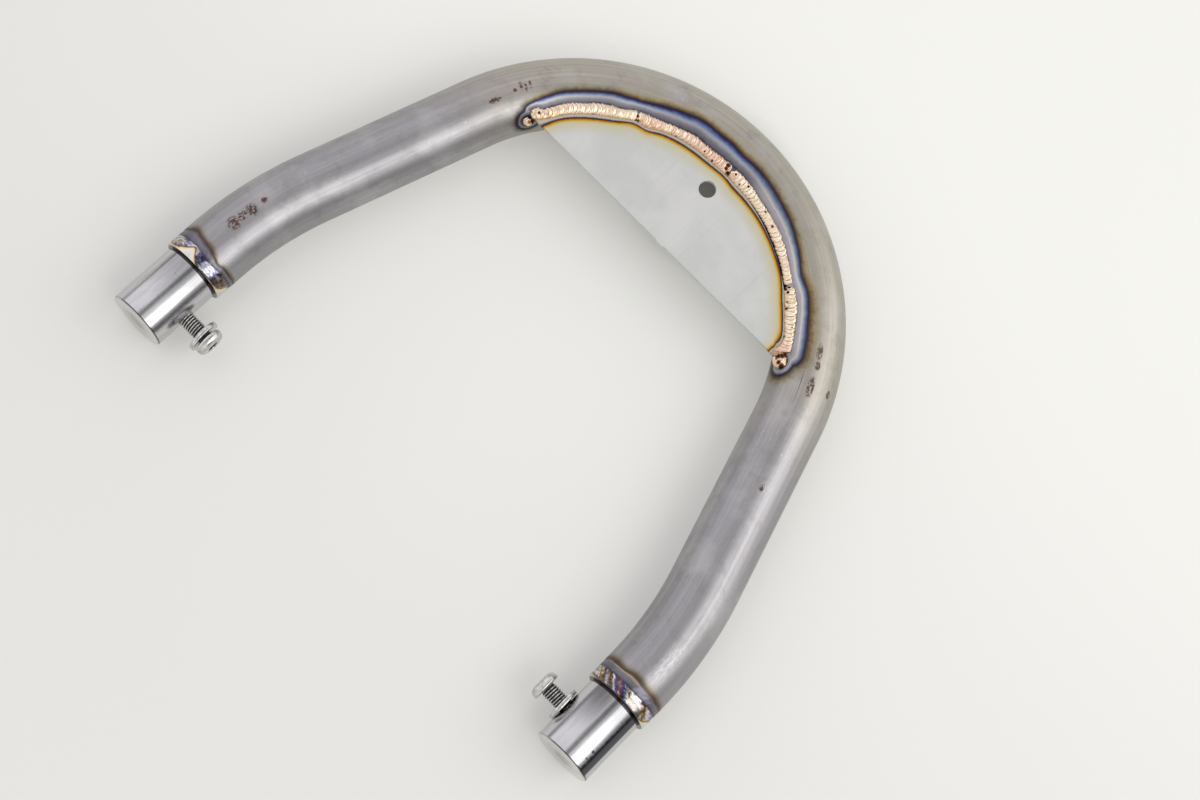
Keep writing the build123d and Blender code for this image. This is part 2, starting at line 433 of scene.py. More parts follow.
# %% Where the braze lies
outer_toe = [(-61, 74.3), (-58, 74.8), (-56, 74.1), (-54, 74.4), (-51, 74.9), (-45, 75.1)]
outer_toe += [(-38, 75.2), (-35, 74.8), (-30, 75.3), (-25, 74.9), (-18, 75.0), (-12, 75.4)]
outer_toe += [(-9, 75.0), (0, 75.3), (5, 75.5), (13, 75.3), (23, 75.7), (30, 75.4), (37.5, 75.2)]
outer_toe += [(41, 75.7), (50, 75.1), (58, 74.7)]
inner_toe = [(-61, 71.4), (-58, 70.4), (-55, 70.3), (-51, 70.9), (-44, 71.2), (-35, 71.1)]
inner_toe += [(-30, 71.4), (-26.5, 70.5), (-22, 71.3), (-18, 71.8), (-11, 71.7), (-5, 71.3)]
inner_toe += [(3, 71.4), (9, 71.8), (17, 72.2), (27, 72.3), (36, 72.1), (42, 71.45), (47, 71.3)]
inner_toe += [(54, 70.95), (55.4, 70.1), (56.6, 68.4), (58, 67.6)]

plate_line = [(-60, 66.5), (-57.5, 67.8), (-52, 69.45), (-45, 69.75), (-38, 69.65), (-35, 69.8)]
plate_line += [(-31, 70.6), (-29, 70.4), (-26.5, 69.4), (-22, 70.2), (-15, 70.4), (-5, 70.1)]
plate_line += [(1, 70.5), (5, 70.1), (9, 70.5), (16, 71.1), (28, 71.5), (36, 71.5), (41, 70.75)]
plate_line += [(48, 70.75), (53, 70.5), (55, 69.35), (57, 67.3), (60, 66.0)]
film_width = [(-61, 1.7), (-58, 2.3), (-56, 3.7), (-53, 4.0), (-45, 4.2), (-40, 4.2), (-36, 4.5)]
film_width += [(-32, 3.9), (-30, 3.4), (-28, 3.8), (-24, 4.8), (-20, 5.45), (-10, 6.05), (-4, 6.0)]
film_width += [(0, 5.2), (5, 5.5), (10, 5.7), (16, 5.4), (20, 5.0), (25, 4.5), (30, 4.1), (34, 3.5)]
film_width += [(36, 3.4), (38, 3.8), (45, 4.05), (51, 4.45), (57, 4.6)]
fringe_pace = [(-70, 1.3), (-38, 1.3), (-28, 1.1), (-4, 1.1), (10, 1.0), (32, 1.0), (42, 0.75)]
fringe_pace += [(70, 0.75)]

# Corner tacks: clock angle, height of the middle, radius, and the width of the film round them.
tack_rho = 71.807
tack_places = {"left": (-60.9, 19.5, 2.1, 2.0), "right": (59.07, 21.1, 2.9, 2.4)}
gap = through(outer_toe, 0) - through(inner_toe, 0)
print("at the crown's top the toes are", round(float(gap), 2), "mm apart")


def tube_top(rho):
    """Height of the tube's skin at rho mm from the crown's centre: r + sqrt(r^2 - (rho - R)^2)."""
    return tube_r + np.sqrt(np.maximum(tube_r**2 - (rho - crown_r) ** 2, 0))


def crown_point(angle, rho, z):
    """Point at a clock angle in degrees over the crown, rho mm from its centre."""
    a = np.radians(angle)
    return np.stack(np.broadcast_arrays(rho * np.sin(a), crown_y + rho * np.cos(a), z), -1)


def clock_of(points):
    """Clock angle over the crown, in degrees, and distance from its centre in plan."""
    x, y = points[..., 0], points[..., 1] - crown_y
    return np.degrees(np.arctan2(x, y)), np.hypot(x, y)


# %% [markdown]
# A film's colour depends on how far the steel is from the braze, over how wide the film is there.
# Both are worked out for each point of the tube near the braze, and other points get a value that
# stands for far away.

# %% Distance from the braze
far_share, far_past = 9.0, 40.0
toe_samples = 300


def film_fields(points):
    """Film on the tube: distance to the braze over the film's width, and mm past its dark line."""
    clock, rho = clock_of(points)
    share = np.full(clock.shape, far_share)
    past = np.full(clock.shape, far_past)
    # Only this part of the skin can be reached by the film, and the rest keeps the far values.
    near = (np.abs(clock) < 80) & (rho < crown_r + 4) & (points[..., 2] > 8)
    close = points[near].astype(np.float32)
    angle = np.linspace(-60.0, 57.0, toe_samples)
    width = through(film_width, angle).astype(np.float32)
    toe_rho = through(outer_toe, angle)
    toe = crown_point(angle, toe_rho, tube_top(toe_rho)).astype(np.float32)
    gap = np.sqrt(((close[:, None, :] - toe[None, :, :]) ** 2).sum(-1))
    near_share, near_past = (gap / width).min(1), (gap - width).min(1)
    for at, z, radius, film in tack_places.values():
        gap = np.linalg.norm(close - crown_point(at, tack_rho, z), axis=1) - radius
        near_share, near_past = np.minimum(near_share, gap / film), np.minimum(near_past, gap - film)
    share[near], past[near] = near_share, near_past
    # The film is duller and darker in a few stretches of the clock.
    dull = 0.3 * smooth(-49, -56, clock) + 0.7 * smooth(-57.5, -62, clock)
    dull = dull + 0.3 * smooth(1, 5, clock) * smooth(32, 24, clock)
    dull = dull + 0.42 * smooth(-33, -38, clock) * smooth(-56, -49, clock)
    dull = dull + 0.12 * smooth(38, 42, clock) + 0.43 * smooth(53, 60, clock)
    past = np.where(past > 0, past * through(fringe_pace, clock), past)
    frost = smooth(4, 13, clock)
    return {"film_share": share, "film_past": past, "film_dull": dull, "film_frost": frost}


print("film at the crown's top:", float(through(film_width, 0.0)), "mm wide")


# %% [markdown]
# At each foot the tube's end and the plug's collar were melted together, without filler. The edges
# of the melt wander. They are written as a few heights round the ring, one list for each side and
# foot, with a smooth curve through them.

# %% Edges of the melted ring
melt_round = [-180, -120, -82, -66, -50, -28, -8, 2, 12, 25, 38, 55, 75, 95, 130, 180]
melt_to_plug = {
    -1: [2.0, 2.0, 0.5, 3.6, 4.4, 4.7, 4.6, 3.3, 0.8, 2.6, 3.8, 4.2, 2.8, 1.5, 2.0, 2.0],
    1: [2.4, 2.4, 3.6, 4.2, 4.8, 4.8, 4.9, 4.8, 4.8, 4.9, 4.8, 4.4, 2.0, 1.5, 2.0, 2.4],
}
melt_to_tube = {
    -1: [0.6, 0.6, 0.3, 0.2, 0.0, -0.7, -0.7, -0.3, 0.1, 0.1, 0.0, 0.1, 0.3, 0.4, 0.6, 0.6],
    1: [0.4, 0.4, 0.2, 0.0, 0.0, -0.1, -0.2, -0.2, -0.2, -0.1, 0.0, 0.1, 0.3, 0.4, 0.4, 0.4],
}
heat_reach = {
    -1: [3.0, 3.0, 2.1, 2.2, 2.0, 1.3, 2.6, 3.1, 3.4, 4.0, 4.6, 3.6, 3.0, 2.6, 3.0, 3.0],
    1: [3.6, 3.6, 3.8, 3.9, 3.8, 3.3, 3.8, 3.9, 3.9, 3.9, 3.9, 3.8, 3.6, 3.4, 3.6, 3.6],
}

# Film on the melt by angle: 0 soot, 0.15 gold, 0.3 cream, 0.45 lilac, 0.7 blue, 0.85 purple,
# 1 orange. The cream and lilac stretches are partly painted glints, where the melt mirrors light.
left_tone = [(-180, 0.4), (-100, 0.3), (-68, 0.1), (-58, 0.06), (-51, 0.14), (-46, 0.7), (-38, 0.5)]
left_tone += [(-25, 0.42), (-13, 0.5), (-6, 0.64), (0, 0.76), (8, 0.3), (20, 0.44), (34, 0.48)]
left_tone += [(48, 0.2), (60, 0.42), (180, 0.4)]
right_tone = [(-180, 0.4), (-90, 0.5), (-68, 0.42), (-60, 0.2), (-54, 0.97), (-47, 0.95)]
right_tone += [(-41, 0.42), (-34, 0.06), (-27, 0.02), (-20, 0.66), (-12, 0.82), (-5, 0.74)]
right_tone += [(2, 0.5), (9, 0.22), (16, 0.34), (24, 0.27), (32, 0.36), (42, 0.22), (50, 0.08)]
right_tone += [(58, 0.3), (70, 0.46), (180, 0.4)]
melt_tone = {-1: left_tone, 1: right_tone}


def melt_edge(heights, theta):
    """Reach of the melt in mm from the joint, at an angle in radians round the foot."""
    turn = (np.degrees(theta) + 180) % 360 - 180
    return through(list(zip(melt_round, heights)), turn)


def melt_fields(side, theta, past):
    """Distances past both edges of the melt, the heated zone's width, and the melt's tone and glints.
    """
    slant = (4.0 if side > 0 else 1.5) * (past - 2.5)
    turn = (np.degrees(theta) - slant + 180) % 360 - 180
    toward_tube = melt_edge(melt_to_tube[side], theta)
    return {
        "plug_reach": past - melt_edge(melt_to_plug[side], theta),
        "melt_reach": -past - toward_tube,
        "heat_width": melt_edge(heat_reach[side], theta) - toward_tube,
        "melt_tone": through(melt_tone[side], turn),
    }


for side in (-1, 1):
    wide = melt_edge(melt_to_plug[side], 0.0) + melt_edge(melt_to_tube[side], 0.0)
    print("melt at the top of foot", side, "is", round(float(wide), 2), "mm wide")


# %% [markdown]
# The skin itself is one grid, with a row for each station out along the skin and back through the
# bore. The rows are closer together outside, where the finishes need their stored numbers.

# %% The tube's skin
skin_rows, bore_rows, round_columns = 441, 61, 88
lip_r = 11.9


def tube_skin():
    """Circle of radius r(row) carried along the centre line: out along the skin, back in the bore."""
    end = half_run - weld_half
    outer = np.linspace(-end, end, skin_rows)
    inner = np.linspace(end, -end, bore_rows)
    s = np.concatenate([outer, [end], inner, [-end]])
    bore = np.full(bore_rows, bore_r + 0.05)
    radius = np.concatenate([np.full(skin_rows, tube_r), [lip_r], bore, [lip_r]])
    theta = np.linspace(-math.pi, math.pi, round_columns, endpoint=False)
    s2, t2 = np.meshgrid(s, theta, indexing="ij")
    points = on_tube(s2, t2, radius[:, None])
    edge, width = (
        np.where(s2 < 0, melt_edge(table[-1], t2), melt_edge(table[1], t2))
        for table in (melt_to_tube, heat_reach)
    )
    fields = {
        "straight": np.stack([s2, tube_r * np.cos(t2), tube_r * np.sin(t2)], -1),
        "melt_reach": half_run - edge - np.abs(s2),
        "heat_width": width - edge,
    }
    return weave("hoop_tube_skin", points, ring=True, **fields, **film_fields(points))


tube = tube_skin()


# %% [markdown]
# ## The plate
# A half-round plate of 2 mm sheet, with one round hole and a straight edge towards the legs. The
# top is a set of rings between the hole and the outline. Each outline point is found by shooting a
# ray from the hole's middle until it meets the arc or the straight edge. The rings go on over the
# edge, back underneath and up the hole's wall, so the sheet is one closed skin with broken edges.

# %% The plate's outline
plate_r = 71.807
plate_edge = 36.307
hole_at = 62.807
hole_r = 3.2
plate_low, plate_high = 20.0, 22.0
nib_x, nib_half, nib_proud = 2.2, 1.8, 0.4
plate_columns = 420


def plate_outline(phi):
    """Ray from the hole at angle phi: the nearer of t with |h + t d| = R and t to the flat edge."""
    dx, dy = np.sin(phi), np.cos(phi)
    arc = -hole_at * dy + np.sqrt((hole_at * dy) ** 2 + plate_r**2 - hole_at**2)
    flat = np.where(dy < -1e-6, (plate_edge - hole_at) / np.minimum(dy, -1e-6), 1e9)
    t = np.minimum(arc, flat)
    x, y = t * dx, hole_at + t * dy
    nib = smooth(nib_half + 0.4, nib_half - 0.4, np.abs(x - nib_x)) * (flat < arc)
    return np.stack([x, y - nib_proud * nib], -1)


def plate_rows():
    """Row after row of the sheet: share of the way from hole to outline, mm further out, mm down.

    The top comes first, then the edge, the underside and the hole's wall, with rounded corners."""
    thick = plate_high - plate_low
    edge, nip = 0.12, 0.035
    steps = [(0, edge, 0), (0, 0.3, 0), (0.25, 0, 0), (0.5, 0, 0), (0.75, 0, 0), (0.88, 0, 0)]
    steps += [(0.96, 0, 0), (1, -0.4, 0), (1, -edge, 0), (1, -nip, nip), (1, 0, edge), (1, 0, 1.0)]
    steps += [(1, 0, thick - edge), (1, -nip, thick - nip), (1, -edge, thick), (1, -0.4, thick)]
    steps += [(0.5, 0, thick), (0, 0.3, thick), (0, edge, thick), (0, nip, thick - nip)]
    steps += [(0, 0, thick - edge), (0, 0, 1.0), (0, 0, edge), (0, nip, nip)]
    return steps


def mounting_plate():
    """Rings from the hole to the outline: p = (1 - u) hole + u outline, at each height in turn."""
    corner_x = math.sqrt(plate_r**2 - plate_edge**2)
    corner = math.atan2(corner_x, plate_edge - hole_at)
    even = np.linspace(-math.pi, math.pi, plate_columns, endpoint=False)
    phi = np.sort(np.concatenate([even, [corner, -corner]]))
    outline = plate_outline(phi)
    middle = np.array([0.0, hole_at])
    spoke = outline - middle
    unit = spoke / np.linalg.norm(spoke, axis=1, keepdims=True)
    hole = middle + unit * hole_r
    grid = []
    for share, shift, drop in plate_rows():
        flat = hole + (outline - hole) * share + unit * shift
        z = np.full((len(phi), 1), plate_high - drop)
        grid.append(np.concatenate([flat + [0.0, crown_y], z], 1))
    grid = np.array(grid)
    clock = clock_of(grid)[0]
    line = through(plate_line, clock)
    film = {"film_line": line, "film_width": np.maximum(through(inner_toe, clock) - line, 0.3)}
    return weave("mounting_plate_sheet", grid, ring=True, sharp=30.0, **film)


plate = mounting_plate()


# %% [markdown]
# ## The braze
# Silicon bronze was laid along the joint in four passes. The welder adds a drop, moves on, and adds
# the next, so a pass looks like a row of coins pushed over. Each coin bulges the bead and its edges
# a little, and its rim is a crescent, because the middle of the pool freezes last.

# %% Coins pushed over
pass_spans = [(-60.2, -29.7), (-29.9, 0.9), (0.9, 37.6), (37.8, 57.2)]
seam_r = 73.0
coin_pitch = 1.45


def coins(rng, along, across, length):
    """Crest of the coins, 1 on top and 0 in the dips, and a random number for each coin."""
    count = int(length / coin_pitch) + 6
    pitch = coin_pitch * (1 + 0.2 * np.clip(rng.standard_normal(count), -1.6, 1.6))
    start = np.cumsum(pitch) - pitch[0] - 2 * coin_pitch
    x = along + 0.62 * coin_pitch * (2 * across - 1) ** 2
    which = np.clip(np.searchsorted(start, x.ravel(), "right").reshape(x.shape) - 1, 0, count - 1)
    share = np.clip((x - start[which]) / pitch[which], 0, 1)
    crest = smooth(0.0, 0.3, share) * (1 - 0.3 * share)
    return crest, rng.uniform(0, 1, count)[which]


for first, last in pass_spans:
    print("pass of about", int(math.radians(last - first) * seam_r / coin_pitch), "coins")

# %% [markdown]
# A crater is left where a pass stopped, and gas blew a few pinholes. Each is a soft round dent that
# the finish darkens. The bronze is pinker along some stretches, and red where it was heated twice.

# %% Hollows and hues of the bead
# Hollows: clock angle, distance from the crown's centre, radius and depth in mm.
hollows = [(-57.8, 72.6, 0.45, 0.2), (-42.3, 71.3, 0.2, 0.15), (-29.7, 73.4, 0.35, 0.35)]
hollows += [(-29.2, 71.9, 0.35, 0.3), (-17.5, 71.9, 0.22, 0.2), (-8.3, 72.6, 0.3, 0.2)]
hollows += [(-5.0, 71.7, 0.35, 0.3), (-0.5, 72.9, 0.6, 0.35), (-0.7, 74.2, 0.7, 0.2)]
hollows += [(0.6, 72.2, 0.6, 0.4), (1.3, 74.6, 0.5, 0.3), (2.6, 73.9, 0.38, 0.45)]
hollows += [(5.4, 72.5, 0.3, 0.2), (7.5, 74.4, 0.38, 0.6), (10.3, 72.2, 0.2, 0.2)]
hollows += [(16.0, 74.3, 0.35, 0.35), (20.5, 74.1, 0.4, 0.2), (18.4, 72.3, 0.18, 0.2)]
hollows += [(38.2, 73.6, 0.5, 0.6), (38.7, 72.3, 0.5, 0.4), (39.7, 72.9, 0.42, 0.8)]
hollows += [(42.4, 72.4, 0.28, 0.25), (44.3, 72.0, 0.4, 0.25), (49.8, 74.0, 0.25, 0.2)]
hollows += [(52.4, 71.5, 0.35, 0.2)]


def sunk(angle, rho):
    """Darkness of the hollows and their depth in mm: both follow exp(-(gap / radius)^2)."""
    pits = np.zeros_like(rho)
    sink = np.zeros_like(rho)
    for at, lane, size, depth in hollows:
        gap = ((np.radians(angle - at) * seam_r) ** 2 + (rho - lane) ** 2) / size**2
        pits = np.maximum(pits, np.exp(-gap))
        sink = np.maximum(sink, depth * np.exp(-gap))
    return pits, sink


def hues(angle, across):
    """How pink and how red the bronze is at a clock angle and a share of the way across."""
    pink = 0.55 * smooth(-30, -28, angle) + 0.45 * smooth(-15, -10, angle)
    pink = pink * smooth(1.5, -1, angle) + smooth(52, 56, angle) + 0 * across
    red = smooth(-48, -52, angle) + smooth(-29.7, -28.5, angle) * smooth(-20, -24, angle)
    red = red + smooth(5, 2, angle) * smooth(0, 1, angle)
    red = red + smooth(38, 39, angle) * smooth(47, 43, angle)
    return pink, np.clip(red, 0, 1) * smooth(0.35, 0.75, across)


print("hollows in the bead:", len(hollows))

# %% [markdown]
# The bead itself is a grid along and across the joint. Its height is an arch across the bead, times
# the coins' sawtooth along it. The toes swing out a little with each coin, both ends close in a
# rounded tip, and the grid comes back underneath, inside the joint, which makes the bead solid.

# %% One pass of braze
bead_height = 0.95
bead_columns = 27
bead_rows_per_mm = 10
tip_run = 1.5


def braze_pass(name, first, last, seed):
    """Bead between its outer toe on the tube and its inner toe on the plate.

    rho = outer + (inner - outer) b, z = line between the toes + H (4 b (1 - b))^0.65 (1 + coins)."""
    rng = np.random.default_rng(seed)
    length = math.radians(last - first) * seam_r
    along = np.linspace(0, length, int(length * bead_rows_per_mm))[:, None]
    across = np.linspace(0, 1, bead_columns)[None, :]
    crest, tint = coins(rng, along, across, length)
    edge_crest, edge_tint = coins(np.random.default_rng(seed), along, 0 * along, length)
    angle = first + np.degrees(along / seam_r)
    from_tip = np.clip(np.minimum(along, length - along) / tip_run, 0, 1)
    end = np.sqrt(np.clip(1 - (1 - from_tip) ** 2, 0, 1))
    swing = 0.34 * edge_crest * (0.3 + edge_tint)
    outer = through(outer_toe, angle) + swing - 0.17
    inner = through(inner_toe, angle) - swing + 0.12
    middle = (outer + inner) / 2
    outer, inner = middle + (outer - middle) * end, middle + (inner - middle) * end
    rho = outer + (inner - outer) * across
    arch = (4 * across * (1 - across)) ** 0.65
    stop = np.exp(-(((along - length + tip_run) / 0.75) ** 2)) * np.exp(-(((across - 0.5) / 0.3) ** 2))
    height = bead_height * arch * end * (0.64 + 0.36 * crest * (0.5 + 0.9 * tint))
    height = height - 0.4 * stop * arch
    for pitch in (2.3, 3.7, 6.1):
        turn, skew = rng.uniform(0, 6, 2)
        wave = np.sin(2 * math.pi * along / pitch + skew * across + turn)
        height = height + 0.07 * arch * wave * np.cos(3.5 * across + skew)
    pits, sink = sunk(angle, rho)
    outer_z = tube_top(outer) - 0.06
    base = outer_z + (plate_high - 0.05 - outer_z) * across
    top = crown_point(angle + 0 * across, rho, base + np.maximum(height, -0.2) - sink)
    back = across[:, 1:-1][:, ::-1]
    floor_z = outer_z + (plate_high - 0.05 - outer_z) * back - 0.5 * np.sin(math.pi * back)
    under = crown_point(angle + 0 * back, outer + (inner - outer) * back, floor_z)
    grid = np.concatenate([top, under], 1)
    grid[0] = grid[0].mean(0)
    grid[-1] = grid[-1].mean(0)
    pink, red = hues(angle, across)
    # Closeness to either toe, which the finish darkens as painted shade.
    rim = np.abs(2 * across - 1) ** 3 + 0 * along
    above = {"dip": 1 - crest, "tint": tint, "scorch": np.clip(1.35 * pits, 0, 1), "blush": pink}
    above.update({"ember": red, "toward_toe": rim, "lane": across + 0 * along})
    pad = np.zeros((len(along), back.shape[1]))
    below = {"dip": 1, "toward_toe": 1}
    fields = {key: np.concatenate([a, pad + below.get(key, 0)], 1) for key, a in above.items()}
    return weave(name, grid, sharp=75.0, **fields)


beads = []
for number, (first, last) in enumerate(pass_spans, 1):
    beads.append(braze_pass(f"braze_pass_{number}_rippled", first, last, 10 + number))


# %% [markdown]
# A dab of bronze closes each corner of the plate, with a burnt hollow where the torch was lifted.
# Each is a ball pressed against the tube: points that fall inside the tube are pushed out to its
# skin, and a round dent is sunk from above.

# %% Corner tacks
# Burnt hollows of each tack: clock angle, distance from the crown's centre, radius in mm, darkness.
left_marks = [(-60.8, 70.7, 0.9, 0.5), (-59.7, 70.8, 0.95, 0.95), (-59.5, 69.5, 0.9, 0.95)]
left_marks += [(-60.3, 72.2, 0.6, 0.7)]
right_marks = [(57.4, 73.2, 1.1, 0.85), (58.0, 71.9, 1.0, 0.95), (58.3, 70.5, 1.0, 1.0)]
right_marks += [(57.9, 69.2, 0.8, 0.8), (58.7, 74.4, 0.7, 0.8), (60.9, 72.6, 0.95, 1.0)]
right_marks += [(60.1, 71.2, 0.75, 0.95), (60.5, 74.5, 0.5, 0.7), (59.2, 70.2, 0.5, 0.6)]
tack_marks = {"left": left_marks, "right": right_marks}
tack_rings = 26
tack_rows, tack_columns = 61, 72


def corner_tack(name, angle, height, radius, marks, seed):
    """Ball r (1 + lumps + rings), sunk by 0.5 mm at each burnt mark, then pushed out of the tube."""
    rng = np.random.default_rng(seed)
    tilt = np.linspace(0, math.pi, tack_rows)[:, None]
    turn = np.linspace(0, 2 * math.pi, tack_columns, endpoint=False)[None, :]
    lumps = 0
    for k in (2, 3, 5, 7):
        lump = rng.uniform(0.01, 0.035)
        lumps = lumps + lump * np.sin(k * turn + rng.uniform(0, 6)) * np.sin(tilt) ** 2
    r = radius * (1 + lumps + 0.02 * np.cos(tilt * tack_rings))
    level = np.sin(tilt)
    unit = np.stack([level * np.cos(turn), level * np.sin(turn), np.cos(tilt) + 0 * turn], -1)
    ball = unit * r[..., None] * [1.0, 1.0, 0.7]
    points = crown_point(angle, tack_rho, height) + ball
    clock, rho = clock_of(points)
    burnt = np.zeros(rho.shape)
    for at, lane, size, amount in marks:
        gap = (np.radians(clock - at) * lane) ** 2 + (rho - lane) ** 2
        burnt = np.maximum(burnt, amount * np.exp(-((gap / size**2) ** 1.5)))
    points[..., 2] -= 0.5 * burnt * (unit[..., 2] > 0)
    side = np.hypot(rho - crown_r, points[..., 2] - tube_r)
    push = np.maximum((tube_r - 0.08) / side, 1.0)
    new_rho = crown_r + (rho - crown_r) * push
    points[..., 0] *= new_rho / rho
    points[..., 1] = crown_y + (points[..., 1] - crown_y) * new_rho / rho
    points[..., 2] = tube_r + (points[..., 2] - tube_r) * push
    points[0] = points[0].mean(0)
    points[-1] = points[-1].mean(0)
    ring = 0.5 + 0.5 * np.cos(tilt * tack_rings) + 0 * turn
    fields = {"dip": ring * 0.85, "tint": 0 * ring + 0.8, "scorch": burnt, "toward_toe": 0 * ring}
    fields.update({"lane": ring, "blush": 0 * ring + 0.5, "ember": ring * 0.8})
    return weave(name, points, sharp=80.0, **fields)


tacks = []
for seed, (name, place) in zip((3, 8), tack_places.items()):
    tacks.append(corner_tack(f"{name}_braze_tack_dab", *place[:3], tack_marks[name], seed))


# %% [markdown]
# ## Melted rings, plugs and their screws
# The ring of melted steel is flush with the tube, only a little sunken and rippled, which breaks up
# the light on it. It is a small closed section turned round the foot's axis, with its outer radius
# changed from point to point.

# %% The melted rings
ring_columns, ring_rows, back_rows = 200, 41, 5
ring_bore = 11.75


def foot_point(side, y, r, theta):
    """Point r mm from a foot's axis, with theta from the top towards the outside."""
    return np.stack([side * (leg_x + r * np.sin(theta)), y, tube_r + r * np.cos(theta)], -1)


def melt_ring(name, side):
    """Section turned round the foot: r = R - ripples, which are zero at both edges of the ring."""
    theta = np.linspace(-math.pi, math.pi, ring_columns, endpoint=False)[None, :]
    reach = np.linspace(-weld_half, weld_half, ring_rows)[:, None]
    edge = np.cos(math.pi * reach / (2 * weld_half)) ** 0.5
    wave = 0.045 * np.sin(30 * theta + 2.2 * np.cos(reach * 1.2))
    wave = wave + 0.08 * np.sin(9 * theta + 1.9 * reach)
    r = tube_r - edge * (0.12 + wave * 0.8)
    back = np.linspace(weld_half, -weld_half, back_rows)[:, None]
    y = np.concatenate([tube_end_y - reach, tube_end_y - back]) + 0 * theta
    r = np.concatenate([r, np.full((back_rows, ring_columns), ring_bore)])
    t = theta + 0 * y
    fields = melt_fields(side, t, tube_end_y - y)
    return weave(name, foot_point(side, y, r, t), ring=True, sharp=60.0, **fields)


rings = [melt_ring("left_fusion_weld_ring", -1), melt_ring("right_fusion_weld_ring", 1)]

# %% [markdown]
# Each plug is turned from solid bar. A lathe makes exactly a surface of revolution, so a profile of
# (place along the axis, radius) pairs is turned round the foot's axis. A blind hole for the cross
# screw is then cut into its inner side with a Boolean modifier, because a drill does the same.

# %% Turned plugs
screw_y = plug_end_y + plug_run / 2
drill_r, hole_deep = 3.05, 15.0
plug_sharp = 28.0
profile_step, plug_columns = 0.45, 144
spigot_r, spigot_run = 11.0, 4.0


def fine_profile(corners, step):
    """Extra points along a profile's runs, so that finishes stored on them stay sharp."""
    out = [corners[0]]
    for a, b in zip(corners[:-1], corners[1:]):
        n = max(1, int(np.hypot(b[0] - a[0], b[1] - a[1]) / step))
        out += [(a[0] + (b[0] - a[0]) * k / n, a[1] + (b[1] - a[1]) * k / n) for k in range(1, n + 1)]
    return np.array(out)


def turned_plug(name, side):
    """Profile turned round the foot's axis: x = side (X + r sin t), z = R + r cos t."""
    start = tube_end_y - weld_half
    corners = [(plug_end_y, 0.0), (plug_end_y, 10.55), (plug_end_y + 0.1, 10.75)]
    corners += [(plug_end_y + 0.42, 11.07), (plug_end_y + 0.55, plug_r), (shoulder_y - 0.95, plug_r)]
    corners += [(shoulder_y - 0.8, plug_r - 0.4), (shoulder_y, plug_r - 0.4)]
    corners += [(shoulder_y, 12.05), (shoulder_y + 0.16, 12.45), (shoulder_y + 0.38, 12.63)]
    corners += [(shoulder_y + 0.7, tube_r), (start, tube_r), (start, ring_bore)]
    corners += [(tube_end_y + spigot_run, spigot_r), (tube_end_y + spigot_run, 0.0)]
    profile = fine_profile(corners, profile_step)
    theta = np.linspace(-math.pi, math.pi, plug_columns, endpoint=False)
    y, t = np.meshgrid(profile[:, 0], theta, indexing="ij")
    grid = foot_point(side, y, profile[:, 1][:, None], t)
    return weave(name, grid, sharp=plug_sharp, **melt_fields(side, t, tube_end_y - y))


def drill(piece, side):
    """Blind hole for the cross screw: a cylinder with a 118 degree point, taken away."""
    turn = np.linspace(0, 2 * math.pi, 64, endpoint=False)[None, :]
    mouth = leg_x - plug_r
    tip = hole_deep + drill_r / math.tan(math.radians(59))
    depth = np.array([-3.0, -3.0, hole_deep, tip])[:, None]
    r = np.array([0.0, drill_r, drill_r, 0.0])[:, None]
    x = side * (mouth + depth + 0 * turn)
    cutter = weave("drill", np.stack([x, screw_y + r * np.sin(turn), tube_r + r * np.cos(turn)], -1))
    cut = piece.modifiers.new("cross_hole", "BOOLEAN")
    cut.operation = "DIFFERENCE"
    cut.solver = "EXACT"
    cut.object = cutter
    bpy.context.view_layer.update()
    solved = piece.evaluated_get(bpy.context.evaluated_depsgraph_get())
    done = bpy.data.meshes.new_from_object(solved)
    piece.modifiers.clear()
    piece.data = done
    done.shade_smooth()
    done.set_sharp_from_angle(angle=math.radians(plug_sharp))
    bpy.data.objects.remove(cutter)


plugs = [turned_plug("left_slug_turned", -1), turned_plug("right_slug_turned", 1)]
for piece, side in zip(plugs, (-1, 1)):
    drill(piece, side)

# %% [markdown]
# The cross screws are button heads with an M6 thread. Tip, thread, underside, dome and socket lie on
# one line of stations along the axis. The thread's radius also depends on the angle, as a rolled V
# that climbs 1 mm a turn, and the socket's rings are hexagons.

# %% Button-head screws
head_r, head_high = 5.25, 3.3
socket_flats = 4.0
thread_root, thread_high = 2.46, 0.54
screw_columns = 72


def vee(phase):
    """Rolled thread from 0 in the root to 1 on the crest, with a flat on each."""
    return np.clip(1.35 * (1 - np.abs(2 * (phase % 1) - 1)) - 0.14, 0, 1)


def thread(turn):
    """Stations, radii and painted-shade root mask from the tip at -16 mm to just under the head."""
    tip = np.array([(-16.0, 0.0), (-16.0, 2.35), (-15.7, 2.6)])
    shank = np.arange(-15.4, -0.35, 0.1)
    lift = thread_high * vee(shank[:, None] - turn[None, :] / (2 * math.pi))
    lift *= smooth(-0.35, -1.2, shank)[:, None]
    station = np.concatenate([tip[:, 0], shank])
    r = np.concatenate([tip[:, 1:] + 0 * turn, thread_root + lift])
    root = np.concatenate([np.zeros((len(tip), len(turn))), smooth(0.4, 0.08, lift)])
    return station, r, root


